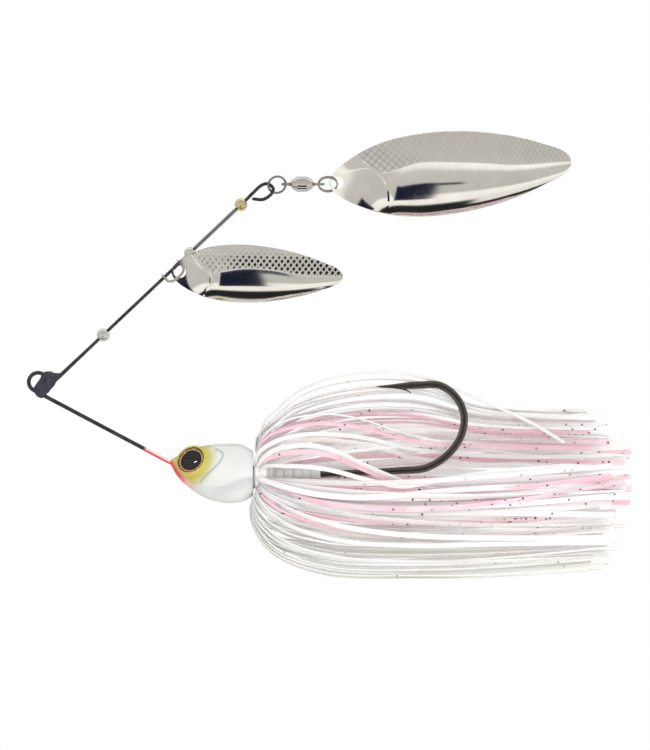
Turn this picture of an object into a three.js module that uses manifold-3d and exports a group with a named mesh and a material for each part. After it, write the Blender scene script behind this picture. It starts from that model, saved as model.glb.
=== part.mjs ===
// A double-willow spinnerbait, in millimetres.
// It is drawn in the lure's own axes: x runs aft from the line tie to the tail, y to the right flank and z up
// to the back of the head. The last lines hang it by its line tie, tail down.
import * as THREE from "three";
import { mergeVertices } from "three/addons/utils/BufferGeometryUtils.js";
import Module from "manifold-3d";

const wasm = await Module();
wasm.setup();

// ---- driving dimensions -------------------------------------------------------------------------------------

const LOWER_WIRE = 0.95; // diameter from the head to the line tie
const UPPER_WIRE = 0.8; // diameter of the tapered arm that carries the blades
const FIT = 0.1; // clearance of a bore round the piece in it
const TIE_RADIUS = 2.2; // line-tie loop, to the middle of the wire
const LOWER_ARM_ANGLE = THREE.MathUtils.degToRad(-27.9); // from the x axis
const UPPER_ARM_ANGLE = THREE.MathUtils.degToRad(43.4);
const UPPER_ARM_LENGTH = 60.3; // straight stretch, sleeve to eye

// Distances along the straight stretch of the upper arm, from the sleeve.
const STOP_BEAD_AT = 13.5;
const CLEVIS_AT = 36;
const BEARING_BEAD_AT = 41.9;
const SPACER_AT = 43.45;
const SPACER_LENGTH = 13.55;
const BRASS_BEAD_AT = 58.65;

const STOP_BEAD = 3.1; // diameters
const BEARING_BEAD = 2.8;
const BRASS_BEAD = 3;
const SPACER_TUBE = 1.65;

const SWIVEL_AXIS = { y: 0.4, z: 47.1 }; // the swivel lies along x
const BARREL_START = 60.25;
const BARREL_LENGTH = 5.2;
const BARREL_RADIUS = 1.82;
const BALL_RADIUS = 0.27;
const BALLS = 6;

const SHEET = 0.5; // blade thickness
const HOLE_RADIUS = 1.5; // in either blade

const HEAD_BACK = 51.2; // x of the flat back of the head
const SHANK_ANGLE = THREE.MathUtils.degToRad(2.64); // hook shank, from the x axis
const HOOK_EYE = new THREE.Vector3(39.4, 0, -23.25);
const EYE_RADIUS = 3.3;

const SKIRT_TUFTS = 9;
const SKIRT_PITCH = THREE.MathUtils.degToRad(32); // between tufts; the rest of the turn is the hook's window
const SKIRT_START = THREE.MathUtils.degToRad(22); // of the first tuft, from straight up toward the right flank
const SKIRT_FLATNESS = 0.75; // width over height of the bell

// ---- general shapes -----------------------------------------------------------------------------------------

const RIGHT = new THREE.Vector3(0, 1, 0);
const v = (x, y, z) => new THREE.Vector3(x, y, z);

/** A closed solid of stacked rings. place(ring, angle, reach) puts a ring's point; reach is 0 at the caps' middle. */
function loft(rings, sides, place) {
  const geometry = new THREE.CylinderGeometry(1, 1, 1, sides, rings - 1);
  const position = geometry.attributes.position;
  for (let i = 0; i < position.count; i++) {
    const [x, y, z] = [position.getX(i), position.getY(i), position.getZ(i)];
    const ring = Math.round((0.5 - y) * (rings - 1));
    position.setXYZ(i, ...place(ring, Math.atan2(z, x), Math.hypot(x, z)).toArray());
  }
  return geometry;
}

/** Directions at each point of a route: along it, and two across it, turned as little as possible. */
function framesAlong(route, across) {
  let normal = across.clone();
  return route.map((point, i) => {
    const before = route[Math.max(i - 1, 0)];
    const after = route[Math.min(i + 1, route.length - 1)];
    const along = after.clone().sub(before).normalize();
    normal = normal.clone().addScaledVector(along, -normal.dot(along)).normalize();
    return { point, normal, binormal: along.clone().cross(normal) };
  });
}

/** A bar along a route. size(t) gives its two half widths, along `across` and square to it. */
function bar(route, sides, size, across = RIGHT) {
  const frames = framesAlong(route, across);
  return loft(route.length, sides, (ring, angle, reach) => {
    const { point, normal, binormal } = frames[ring];
    const [wide, deep] = size(ring / (route.length - 1), point);
    return point
      .clone()
      .addScaledVector(normal, wide * reach * Math.cos(angle))
      .addScaledVector(binormal, deep * reach * Math.sin(angle));
  });
}

/** Points of a smooth curve through the given points. */
const smooth = (points, steps, tension = 0.5) =>
  new THREE.CatmullRomCurve3(points, false, "centripetal", tension).getPoints(steps);

/** A turned shape: profile holds [radius, place along the axis] pairs and closes on itself; the axis becomes +x. */
function turned(profile, segments) {
  const closed = [...profile, profile[0]].map(([radius, along]) => new THREE.Vector2(radius, along));
  return new THREE.LatheGeometry(closed, segments).rotateZ(-Math.PI / 2);
}

/** A ball with a bore through it, on the x axis. */
function beadGeometry(diameter, bore, segments = 18) {
  const radius = diameter / 2;
  const start = Math.asin(bore / radius);
  const steps = 9;
  const profile = [];
  for (let i = 0; i <= steps; i++) {
    const angle = start + ((Math.PI - 2 * start) * i) / steps;
    profile.push([radius * Math.sin(angle), -radius * Math.cos(angle)]);
  }
  return turned(profile, segments);
}

/** A geometry as a manifold-3d solid. */
function solid(geometry) {
  const bare = geometry.index ? geometry.toNonIndexed() : geometry.clone();
  bare.deleteAttribute("normal");
  bare.deleteAttribute("uv");
  const merged = mergeVertices(bare, 1e-3);
  return new wasm.Manifold(
    new wasm.Mesh({
      numProp: 3,
      vertProperties: merged.attributes.position.array,
      triVerts: new Uint32Array(merged.index.array),
    }),
  );
}

/** The geometry of a manifold-3d solid. */
function geometryOf(body) {
  const { vertProperties, triVerts } = body.getMesh();
  const geometry = new THREE.BufferGeometry();
  geometry.setAttribute("position", new THREE.BufferAttribute(new Float32Array(vertProperties), 3));
  geometry.setIndex(new THREE.BufferAttribute(new Uint32Array(triVerts), 1));
  geometry.computeVertexNormals();
  return geometry;
}

const join = (...geometries) => geometryOf(geometries.map(solid).reduce((all, next) => all.add(next)));
const cut = (geometry, ...tools) =>
  geometryOf(tools.map(solid).reduce((all, next) => all.subtract(next), solid(geometry)));

/** Turns a geometry's x axis to a direction and moves its origin to a point. */
function aimed(geometry, point, direction) {
  const turn = new THREE.Quaternion().setFromUnitVectors(v(1, 0, 0), direction.clone().normalize());
  return geometry.applyQuaternion(turn).translate(point.x, point.y, point.z);
}

const finish = (color, roughness, metalness) =>
  new THREE.MeshStandardMaterial({ color, roughness, metalness, side: THREE.FrontSide });

function mesh(name, geometry, material) {
  const made = new THREE.Mesh(geometry, material);
  made.name = name;
  return made;
}

const BLACK_WIRE = [0x2b2c2e, 0.35, 0.9];
const NICKEL = [0xc9c8c0, 0.18, 1];
const lure = new THREE.Group();

// ---- wire frame ---------------------------------------------------------------------------------------------

const armDirection = v(Math.cos(UPPER_ARM_ANGLE), 0, Math.sin(UPPER_ARM_ANGLE));
const armStart = v(5.71, 0, 1.92);
const TAPER_END = 9; // the wire has thinned to the upper arm's size this far from the sleeve
const armPoint = (distance) => armStart.clone().addScaledVector(armDirection, distance);

/** The line-tie loop, from the lower arm's tangent point round to the sleeve. */
function tieLoop() {
  const first = LOWER_ARM_ANGLE - Math.PI / 2;
  const last = THREE.MathUtils.degToRad(35) - 2 * Math.PI;
  const steps = 16;
  return Array.from({ length: steps + 1 }, (_, i) => {
    const angle = THREE.MathUtils.lerp(first, last, i / steps);
    return v(TIE_RADIUS * Math.cos(angle), 0, TIE_RADIUS * Math.sin(angle));
  });
}

/** The whole wire: its hooked end in the head, lower arm, line tie, upper arm and open eye. */
function wireRoute() {
  const loop = tieLoop();
  const tangent = loop[0];
  const lowerArm = (distance) =>
    v(
      tangent.x + distance * Math.cos(LOWER_ARM_ANGLE),
      0,
      tangent.z + distance * Math.sin(LOWER_ARM_ANGLE),
    );
  const inHead = smooth(
    [v(39.4, 1.5, -23.25), v(39.4, -0.4, -23.25), v(39, -1.45, -23.1), v(37.4, -1.5, -22.4), v(34.6, -0.5, -20.7)],
    12,
  );
  const underSleeve = smooth(
    [loop[16], v(2.55, 0, 0.62), v(3.25, 0, 0.28), v(4, 0, 0.5), armPoint(-1), armPoint(0)],
    10,
  );
  const eye = smooth(
    [
      armPoint(UPPER_ARM_LENGTH),
      v(51.3, 0.15, 45.15),
      v(53.2, 0.35, 46.85),
      v(54.7, 0.42, 47.2),
      v(56, -0.15, 45.95),
      v(55.4, -0.45, 44.6),
      v(53.6, -0.45, 43.45),
      v(51.3, -0.4, 43.55),
    ],
    26,
  );
  return [...inHead, lowerArm(34.5), lowerArm(1), ...loop, ...underSleeve.slice(1), armPoint(TAPER_END), ...eye];
}

/** Half width of the wire at a point: thick in the lower arm, thin past the line tie. */
const wireRadius = (point) => {
  const thin = THREE.MathUtils.clamp((point.z - armStart.z) / (armPoint(TAPER_END).z - armStart.z), 0, 1);
  return THREE.MathUtils.lerp(LOWER_WIRE, UPPER_WIRE, thin) / 2;
};

/** A route with its first end drawn out by a margin, so that a bore is longer than the piece in it. */
const drawnOut = (route, margin) => {
  const outward = route[0].clone().sub(route[1]).normalize();
  return [route[0].clone().addScaledVector(outward, margin), ...route.slice(1)];
};

/** The wire, or with a margin the bore that it is cast into. */
function wire(margin) {
  const size = (_, point) => [wireRadius(point) + margin, wireRadius(point) + margin];
  return bar(drawnOut(wireRoute(), margin), 8, size);
}

lure.add(mesh("wire_frame", wire(0), finish(...BLACK_WIRE)));

/** The rubber sleeve that holds the line in the loop. */
function tieSleeve() {
  const outline = [
    [1.5, 2.3],
    [2.95, 2.5],
    [4.3, 2.05],
    [5.4, 1.95],
    [4.45, 0.2],
    [3.8, -0.85],
    [2.5, -2.4],
    [0.85, -3.8],
    [-0.45, -3],
    [-1.2, -2],
  ];
  const shape = new THREE.Shape(outline.map(([x, z]) => new THREE.Vector2(x, z)));
  const sleeveHalf = 0.95;
  const block = new THREE.ExtrudeGeometry(shape, {
    depth: 2 * sleeveHalf - 0.5,
    bevelThickness: 0.25,
    bevelSize: 0.2,
    bevelOffset: -0.2,
    bevelSegments: 2,
  })
    .translate(0, 0, 0.25 - sleeveHalf)
    .rotateX(Math.PI / 2);
  return cut(block, wire(FIT));
}

lure.add(mesh("tie_sleeve", tieSleeve(), finish(0x2a2a30, 0.7, 0)));

// ---- beads, spacer and clevis on the upper arm --------------------------------------------------------------

const armBore = UPPER_WIRE / 2 + FIT;
const onArm = (geometry, distance) => aimed(geometry, armPoint(distance), armDirection);

lure.add(
  mesh("stop_bead", onArm(beadGeometry(STOP_BEAD, armBore), STOP_BEAD_AT), finish(...NICKEL)),
  mesh("bearing_bead", onArm(beadGeometry(BEARING_BEAD, armBore), BEARING_BEAD_AT), finish(...NICKEL)),
  mesh("brass_bead", onArm(beadGeometry(BRASS_BEAD, armBore), BRASS_BEAD_AT), finish(0xc9ae62, 0.2, 1)),
);

function spacerTube() {
  const [inner, outer] = [armBore + 0.04, SPACER_TUBE / 2];
  const profile = [
    [inner, 0],
    [outer, 0],
    [outer, SPACER_LENGTH],
    [inner, SPACER_LENGTH],
  ];
  return turned(profile, 16);
}

const clear = finish(0xf2f4f2, 0.15, 0);
clear.transparent = true;
clear.opacity = 0.45;
lure.add(mesh("spacer_tube", onArm(spacerTube(), SPACER_AT), clear));

// The clevis is a stirrup of round wire between two drilled ears. In its own axes x runs along the arm and y out
// to the blade; it stands turned a little from the lure's middle plane.
const CLEVIS_TURN = THREE.MathUtils.degToRad(28);
const CLEVIS_HALF = 2.5; // ear to middle
const CLEVIS_WIRE = 0.26; // half thickness

function clevis() {
  const strap = smooth(
    [
      v(-CLEVIS_HALF, 0.6, 0),
      v(-CLEVIS_HALF, 1.4, -0.1),
      v(-1.75, 2.45, -0.25),
      v(-0.6, 2.8, -0.3),
      v(0.5, 2.75, -0.15),
      v(1.5, 2.5, 0),
      v(2.25, 1.95, 0),
      v(CLEVIS_HALF, 1.2, 0),
      v(CLEVIS_HALF, 0.6, 0),
    ],
    20,
  );
  const ear = (place) =>
    turned(
      [
        [armBore, place - 0.2],
        [0.95, place - 0.2],
        [0.95, place + 0.2],
        [armBore, place + 0.2],
      ],
      16,
    );
  const strapBar = bar(strap, 8, () => [CLEVIS_WIRE, CLEVIS_WIRE], v(0, 0, 1));
  return join(strapBar, ear(-CLEVIS_HALF), ear(CLEVIS_HALF));
}

/** Places a geometry drawn in the clevis's axes on the arm. */
function inClevisAxes(geometry) {
  const outward = v(armDirection.z, 0, -armDirection.x)
    .multiplyScalar(Math.cos(CLEVIS_TURN))
    .addScaledVector(RIGHT, -Math.sin(CLEVIS_TURN));
  const third = armDirection.clone().cross(outward);
  const place = armPoint(CLEVIS_AT);
  return geometry.applyMatrix4(new THREE.Matrix4().makeBasis(armDirection, outward, third).setPosition(place));
}

lure.add(mesh("clevis", inClevisAxes(clevis()), finish(...NICKEL)));

// ---- blades -------------------------------------------------------------------------------------------------

/** Half width of a willow blade, as a share of its greatest, at a share of its length from the drilled end. */
/** Half width of a willow blade over its largest, at a share of its length: a narrow nose and a blunter tip. */
function willowWidth(share, fullness) {
  const belly = THREE.MathUtils.smoothstep(share, 0.1, 0.3);
  const tip = THREE.MathUtils.smoothstep(share, 0.88, 1);
  return Math.pow(Math.sin(Math.PI * Math.pow(share, fullness)), 0.72 - 0.12 * belly - 0.09 * tip);
}

/**
 * A cupped willow blade. Its drilled end is at the origin, its length runs along x, its width along z, and its
 * hollow side faces +y.
 */
function willowBlade({ length, width, cup, fullness, hole }) {
  const rings = 21;
  const sides = 18;
  const body = loft(rings, sides, (ring, angle, reach) => {
    const share = THREE.MathUtils.lerp(0.004, 0.996, (1 - Math.cos((Math.PI * ring) / (rings - 1))) / 2);
    const relative = willowWidth(share, fullness);
    const across = Math.cos(angle) * reach;
    const skin = (SHEET / 2) * Math.sign(Math.sin(angle)) * Math.pow(Math.abs(Math.sin(angle)), 0.35) * reach;
    const crown = cup * Math.pow(relative, 1.6) * (1 - across * across) * THREE.MathUtils.smoothstep(share, 0.03, 0.3);
    return v(share * length, -crown - skin, (relative * across * width) / 2);
  });
  const drill = new THREE.CylinderGeometry(HOLE_RADIUS, HOLE_RADIUS, 4, 28).translate(hole, 0, 0);
  return cut(body, drill);
}

/** Places a blade by its drilled end, its pitch about y and its roll about its own length. */
function placedBlade(name, geometry, { end, pitch, roll }, material) {
  const blade = mesh(name, geometry, material);
  blade.position.copy(end);
  blade.rotation.set(roll, -pitch, 0, "YXZ");
  return blade;
}

const SMALL_BLADE = {
  length: 40.9,
  width: 14,
  cup: 2.1,
  fullness: 0.78,
  hole: 2.05,
  end: v(31.75, -1.25, 26.3),
  pitch: THREE.MathUtils.degToRad(-1.8),
  roll: THREE.MathUtils.degToRad(12),
};

const LARGE_BLADE = {
  length: 58.1,
  width: 20,
  cup: 3.2,
  fullness: 0.85,
  hole: 2.15,
  end: v(69.1, SWIVEL_AXIS.y, 47.2),
  pitch: THREE.MathUtils.degToRad(5.3),
  roll: THREE.MathUtils.degToRad(6),
};

lure.add(
  placedBlade("small_blade", willowBlade(SMALL_BLADE), SMALL_BLADE, finish(...NICKEL)),
  placedBlade("large_blade", willowBlade(LARGE_BLADE), LARGE_BLADE, finish(...NICKEL)),
);

// ---- swivel and its rings -----------------------------------------------------------------------------------

// The front ring leans, so that it passes before the upper limb of the wire eye and behind the lower one.
function frontRing() {
  const [radius, half] = [2.1, 0.27];
  const lean = THREE.MathUtils.degToRad(25);
  const yaw = THREE.MathUtils.degToRad(11);
  const first = v(Math.cos(yaw), Math.sin(yaw), 0);
  const second = v(0, -Math.sin(lean), Math.cos(lean));
  second.addScaledVector(first, -second.dot(first)).normalize();
  const axes = new THREE.Matrix4().makeBasis(first, second, first.clone().cross(second));
  return new THREE.TorusGeometry(radius, half, 8, 28).applyMatrix4(axes.setPosition(56.88, 0, 46.95));
}

/** A swivel stem along x: an eye at its outer end and a head that turns inside the barrel. */
function swivelStem({ eyeAt, eyeRadius, half, rodFrom, headFrom, headTo }) {
  const eye = new THREE.TorusGeometry(eyeRadius, half, 8, 20).translate(eyeAt, 0, 0);
  const rodRadius = 0.4;
  const headRadius = 1.12;
  const rod = turned(
    [
      [0, rodFrom],
      [rodRadius, rodFrom],
      [rodRadius, headFrom],
      [headRadius, headFrom],
      [headRadius, headTo],
      [0, headTo],
    ],
    14,
  );
  return join(eye, rod).translate(0, SWIVEL_AXIS.y, SWIVEL_AXIS.z);
}

/** The barrel: a shell of revolution with a hole at each end for a stem. */
function swivelBarrel() {
  const half = BARREL_LENGTH / 2;
  const oneEnd = [
    [0.52, 0],
    [0.8, 0],
    [0.95, 0.12],
    [1.4, 0.75],
    [1.74, 1.4],
    [BARREL_RADIUS, 1.62],
  ];
  const inside = [
    [1.42, 1.62],
    [1.05, 0.75],
    [0.52, 0.35],
  ];
  const mirrored = (profile) => profile.map(([radius, along]) => [radius, 2 * half - along]).reverse();
  const profile = [...oneEnd, ...mirrored(oneEnd), ...mirrored(inside), ...inside];
  return turned(profile, 22).translate(BARREL_START, SWIVEL_AXIS.y, SWIVEL_AXIS.z);
}

// The front stem's outer end is turned so that its eye holds the ring, and the rear one's is its mirror image.
const frontStem = swivelStem({
  eyeAt: 59,
  eyeRadius: 0.82,
  half: 0.34,
  rodFrom: 59.7,
  headFrom: BARREL_START + 1.62,
  headTo: BARREL_START + 2.05,
});
const rearStem = swivelStem({
  eyeAt: -66.85,
  eyeRadius: 1.15,
  half: 0.28,
  rodFrom: -65.9,
  headFrom: -(BARREL_START + 3.9),
  headTo: -(BARREL_START + 3.45),
});
rearStem.translate(0, -SWIVEL_AXIS.y, -SWIVEL_AXIS.z).rotateZ(Math.PI).translate(0, SWIVEL_AXIS.y, SWIVEL_AXIS.z);

lure.add(
  mesh("front_ring", frontRing(), finish(0x8f8d86, 0.25, 1)),
  mesh("swivel_front_stem", frontStem, finish(...NICKEL)),
  mesh("swivel_barrel", swivelBarrel(), finish(0xc4b9a8, 0.2, 1)),
  mesh("swivel_rear_stem", rearStem, finish(...NICKEL)),
);

for (let i = 0; i < BALLS; i++) {
  const angle = (2 * Math.PI * i) / BALLS;
  const circle = 0.82;
  const ball = mesh("bearing_ball_" + (i + 1), new THREE.IcosahedronGeometry(BALL_RADIUS, 1), finish(...NICKEL));
  ball.position.set(
    BARREL_START + 1.25,
    SWIVEL_AXIS.y + circle * Math.cos(angle),
    SWIVEL_AXIS.z + circle * Math.sin(angle),
  );
  lure.add(ball);
}

// The split ring: two flat coils of wire, joined by a jog between the two cut ends.
function splitRing() {
  const radius = 2.25;
  const half = 0.18;
  const coil = 0.21; // of each coil, from the ring's middle plane
  const opening = 0.14 * Math.PI;
  const steps = 50;
  const route = Array.from({ length: steps + 1 }, (_, i) => {
    const angle = THREE.MathUtils.lerp(opening, 4 * Math.PI - opening, i / steps);
    const jog = THREE.MathUtils.smoothstep(angle, 2 * Math.PI - opening, 2 * Math.PI + opening);
    return v(radius * Math.cos(angle), radius * Math.sin(angle), coil * (2 * jog - 1));
  });
  const lean = THREE.MathUtils.degToRad(45);
  return bar(route, 7, () => [half, half], v(0, 0, 1))
    .rotateX(Math.PI / 2 + lean)
    .translate(69, SWIVEL_AXIS.y, SWIVEL_AXIS.z);
}

lure.add(mesh("split_ring", splitRing(), finish(...NICKEL)));

// ---- hook ---------------------------------------------------------------------------------------------------

const shankDirection = v(Math.cos(SHANK_ANGLE), 0, Math.sin(SHANK_ANGLE));
const shankPoint = (distance) => HOOK_EYE.clone().addScaledVector(shankDirection, distance);
const POINT_LENGTH = 8.5; // the hook tapers over this length

function hookRoute() {
  const bend = smooth(
    [
      shankPoint(46.5),
      v(92.3, 0, -20.45),
      v(97.2, 0, -17.55),
      v(100.6, 0, -13),
      v(101.4, 0, -8),
      v(99.5, 0, -3.6),
      v(95.6, 0, -0.8),
      v(91, 0, -0.7),
      v(88.8, 0, -0.8),
      v(86, 0, -0.95),
      v(83, 0, -1.08),
      v(80.5, 0, -1.1),
    ],
    36,
  );
  return [shankPoint(1.3), shankPoint(28), shankPoint(40), ...bend];
}

/** The hook, with an optional margin for the bore that it is cast into. */
function hook(margin) {
  const route = hookRoute();
  const size = (_, point) => {
    const onPoint = point.z > -2.5 ? THREE.MathUtils.clamp((point.x - 80.5) / POINT_LENGTH, 0.03, 1) : 1;
    const taper = Math.pow(onPoint, 0.62);
    const forged = THREE.MathUtils.smoothstep(point.x, 78, 90);
    const deep = THREE.MathUtils.lerp(0.79, 0.91, forged) * (point.z > -2.5 ? taper : 1);
    const wide = THREE.MathUtils.lerp(0.79, 0.7, forged) * (point.z > -2.5 ? taper : 1);
    return [wide + margin, deep + margin];
  };
  const shaft = bar(drawnOut(route, margin), 8, size);
  const eye = new THREE.TorusGeometry(1.4, 0.6 + margin, 8, 20).rotateX(Math.PI / 2).translate(...HOOK_EYE.toArray());
  return join(shaft, eye);
}

function barb() {
  const [root, tip] = [v(86.3, 0, -1.35), v(88.9, 0, -2.65)];
  const direction = tip.clone().sub(root);
  const cone = turned(
    [
      [0, 0],
      [0.36, 0],
      [0, direction.length()],
    ],
    8,
  );
  return aimed(cone, root, direction);
}

lure.add(mesh("hook", join(hook(0), barb()), finish(0x33302f, 0.3, 0.9)));

// ---- head ---------------------------------------------------------------------------------------------------

/** Height of a profile curve at a place along the head. */
function heightAt(points, x) {
  const next = points.findIndex(([place]) => place >= x);
  if (next < 1) return points[Math.max(next, 0)][1];
  const [x0, z0] = points[next - 1];
  const [x1, z1] = points[next];
  return THREE.MathUtils.lerp(z0, z1, (x - x0) / (x1 - x0));
}

/** A smooth profile through a few points, as a fine list of [x, height] pairs. */
const profileThrough = (points) =>
  new THREE.SplineCurve(points.map(([x, z]) => new THREE.Vector2(x, z)))
    .getPoints(80)
    .map((point) => [point.x, point.y]);

const headTop = profileThrough([
  [31.5, -18.5],
  [33.9, -17.2],
  [36, -15.9],
  [38.9, -15.25],
  [44.3, -14.66],
  [48.5, -14.95],
  [HEAD_BACK, -16.4],
]);
const headBottom = profileThrough([
  [31.5, -19.5],
  [33.2, -22.5],
  [36.3, -25.4],
  [40.3, -27.75],
  [44.9, -28.8],
  [48.9, -28.35],
  [HEAD_BACK, -27.1],
]);
const headHalfWidth = profileThrough([
  [31.5, 0.75],
  [33.5, 2.2],
  [36, 3.7],
  [39.5, 4.9],
  [44, 5.35],
  [48.5, 5.1],
  [HEAD_BACK, 4.5],
]);

function headBody() {
  const rings = 18;
  return loft(rings, 24, (ring, angle, reach) => {
    const share = Math.pow(ring / (rings - 1), 1.25);
    const x = THREE.MathUtils.lerp(31.5, HEAD_BACK, share);
    const [top, bottom] = [heightAt(headTop, x), heightAt(headBottom, x)];
    const [middle, half] = [(top + bottom) / 2, (top - bottom) / 2];
    const across = Math.sign(Math.cos(angle)) * Math.pow(Math.abs(Math.cos(angle)), 0.92);
    return v(x, heightAt(headHalfWidth, x) * reach * across, middle + half * reach * Math.sin(angle));
  });
}

/** Neck for the skirt's collar, and the ribbed keeper behind it, turned about the hook shank. */
function neckAndKeeper() {
  const profile = [
    [0, -4],
    [2.6, -4],
    [2.6, 3.9],
    [3, 4.1],
    [3, 4.5],
    [1.35, 5.2],
  ];
  const ribs = 5;
  const ribPitch = 2.1;
  for (let i = 0; i < ribs; i++) {
    const start = 5.4 + i * ribPitch;
    profile.push([1.12, start], [1.42, start + 0.35], [1.42, start + ribPitch - 0.25]);
  }
  const end = 5.4 + ribs * ribPitch;
  profile.push([1.25, end + 0.1], [0, end + 0.1]);
  const origin = shankPoint((HEAD_BACK - HOOK_EYE.x) / shankDirection.x);
  return aimed(turned(profile, 18), origin, shankDirection);
}

// Each eye looks outward, forward and up. Its own axis is +x of the pieces below.
const EYE_PLACE = v(36.65, 2.75, -18.7);
const EYE_AXIS = v(-0.35, 0.82, 0.46);
const onSide = (vector, side) => v(vector.x, side * vector.y, vector.z);
const eyePiece = (profile, side) => aimed(turned(profile, 24), onSide(EYE_PLACE, side), onSide(EYE_AXIS, side));

const socketRim = (side) =>
  eyePiece(
    [
      [0, -1.9],
      [3.1, -1.9],
      [3.9, -0.6],
      [4.02, 0.05],
      [3.85, 0.5],
      [3.5, 0.72],
      [0, 0.72],
    ],
    side,
  );
const socketBore = (side) =>
  eyePiece(
    [
      [0, -FIT],
      [EYE_RADIUS + FIT, -FIT],
      [EYE_RADIUS + FIT, 3],
      [0, 3],
    ],
    side,
  );

function head() {
  const casting = join(headBody(), neckAndKeeper(), socketRim(-1), socketRim(1));
  return cut(casting, socketBore(-1), socketBore(1), wire(FIT), hook(FIT));
}

const FOIL = 0.3;

function eyeDome() {
  const height = 1.25;
  const steps = 7;
  const base = FOIL + FIT;
  const profile = [
    [0, base],
    [EYE_RADIUS, base],
    [EYE_RADIUS, base + 0.2],
  ];
  for (let i = 1; i <= steps; i++) {
    const angle = (i / steps) * (Math.PI / 2);
    profile.push([EYE_RADIUS * Math.cos(angle), base + 0.2 + (height - 0.2) * Math.sin(angle)]);
  }
  return profile;
}

lure.add(mesh("head", head(), finish(0xf1f3ee, 0.3, 0)));
const domeFinish = finish(0x161412, 0.05, 0);
domeFinish.transparent = true;
domeFinish.opacity = 0.5;
for (const [name, side] of [
  ["left", -1],
  ["right", 1],
]) {
  const foilProfile = [
    [0, 0],
    [EYE_RADIUS, 0],
    [EYE_RADIUS, FOIL],
    [0, FOIL],
  ];
  lure.add(
    mesh(name + "_eye_foil", eyePiece(foilProfile, side), finish(0x6d3a1e, 0.3, 0.6)),
    mesh(name + "_eye_dome", eyePiece(eyeDome(), side), domeFinish.clone()),
  );
}

// ---- skirt --------------------------------------------------------------------------------------------------

const collarOrigin = shankPoint((HEAD_BACK - HOOK_EYE.x) / shankDirection.x);

function skirtBand() {
  const profile = [
    [2.7, 0.45],
    [3.7, 0.45],
    [3.9, 0.9],
    [3.9, 3],
    [3.7, 3.4],
    [2.7, 3.4],
  ];
  return aimed(turned(profile, 22), collarOrigin, shankDirection);
}

lure.add(mesh("skirt_band", skirtBand(), finish(0xe9e7e2, 0.6, 0)));

// The bell of the skirt over the hook's side and under the belly: [x, distance from the shank line].
const BELL_TOP = [
  [52.7, 4.6],
  [52.4, 8.9],
  [57.2, 15.4],
  [67, 21.8],
  [76, 23.6],
  [88, 23.2],
  [105, 17.4],
  [134, 15.4],
];
const BELL_BOTTOM = [
  [52.4, 4.6],
  [51.2, 9],
  [54.2, 15.8],
  [61, 20.9],
  [72, 23.8],
  [88, 24.5],
  [106, 24.7],
  [134, 23.4],
];
const SIDE_EXTRA = 9; // the strands at the flanks end this much further aft
const TUFT_HALF_AT_COLLAR = 0.4;
const TUFT_HALF_AT_TAIL = 0.75;
const TUFT_FILL = 0.82; // how much of its share of the turn a tuft fills

/** One tuft of strands: a thin stave of the bell, a little fuller toward the tail. */
function tuft(turn) {
  const belly = (1 - Math.cos(turn)) / 2;
  const middle = BELL_TOP.map(([x, reach], i) => {
    const [x2, reach2] = BELL_BOTTOM[i];
    const aft = i === BELL_TOP.length - 1 ? SIDE_EXTRA * Math.sin(turn) ** 2 : 0;
    return v(THREE.MathUtils.lerp(x, x2, belly) + aft, THREE.MathUtils.lerp(reach, reach2, belly), 0);
  });
  const route = smooth(middle, 13);
  const frames = framesAlong(route, v(0, 0, 1));
  return loft(route.length, 10, (ring, angle, reach) => {
    const { point, binormal } = frames[ring];
    const t = ring / (route.length - 1);
    const full = THREE.MathUtils.smoothstep(t, 0.02, 0.5);
    const thick = THREE.MathUtils.lerp(TUFT_HALF_AT_COLLAR, TUFT_HALF_AT_TAIL, full);
    const half = point.y * Math.sin(SKIRT_PITCH / 2) * TUFT_FILL;
    const sideways = half * reach * Math.cos(angle);
    const inPlane = point.clone().addScaledVector(binormal, thick * reach * Math.sin(angle));
    const up = inPlane.y * Math.cos(turn) + sideways * Math.sin(turn);
    const flatness = THREE.MathUtils.lerp(1, SKIRT_FLATNESS, THREE.MathUtils.smoothstep(point.y, 5, 16));
    const right = (inPlane.y * Math.sin(turn) - sideways * Math.cos(turn)) * flatness;
    const shank = (inPlane.x - collarOrigin.x) * Math.tan(SHANK_ANGLE) * 0.3;
    return v(inPlane.x, right, collarOrigin.z + shank + up);
  });
}

for (let i = 0; i < SKIRT_TUFTS; i++) {
  const turn = SKIRT_START + SKIRT_PITCH * i;
  lure.add(mesh("skirt_tuft_" + (i + 1), tuft(turn), finish(0xf3e6e6, 0.45, 0)));
}

// ---- hung by the line tie: aft is down, and the back of the head faces +x ------------------------------------

const spinnerbait = new THREE.Group();
lure.rotation.y = Math.PI / 2;
spinnerbait.add(lure);

export default spinnerbait;
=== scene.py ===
import math
import random

import bmesh
import bpy
import numpy as np
from mathutils import Matrix, Vector, noise


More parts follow.
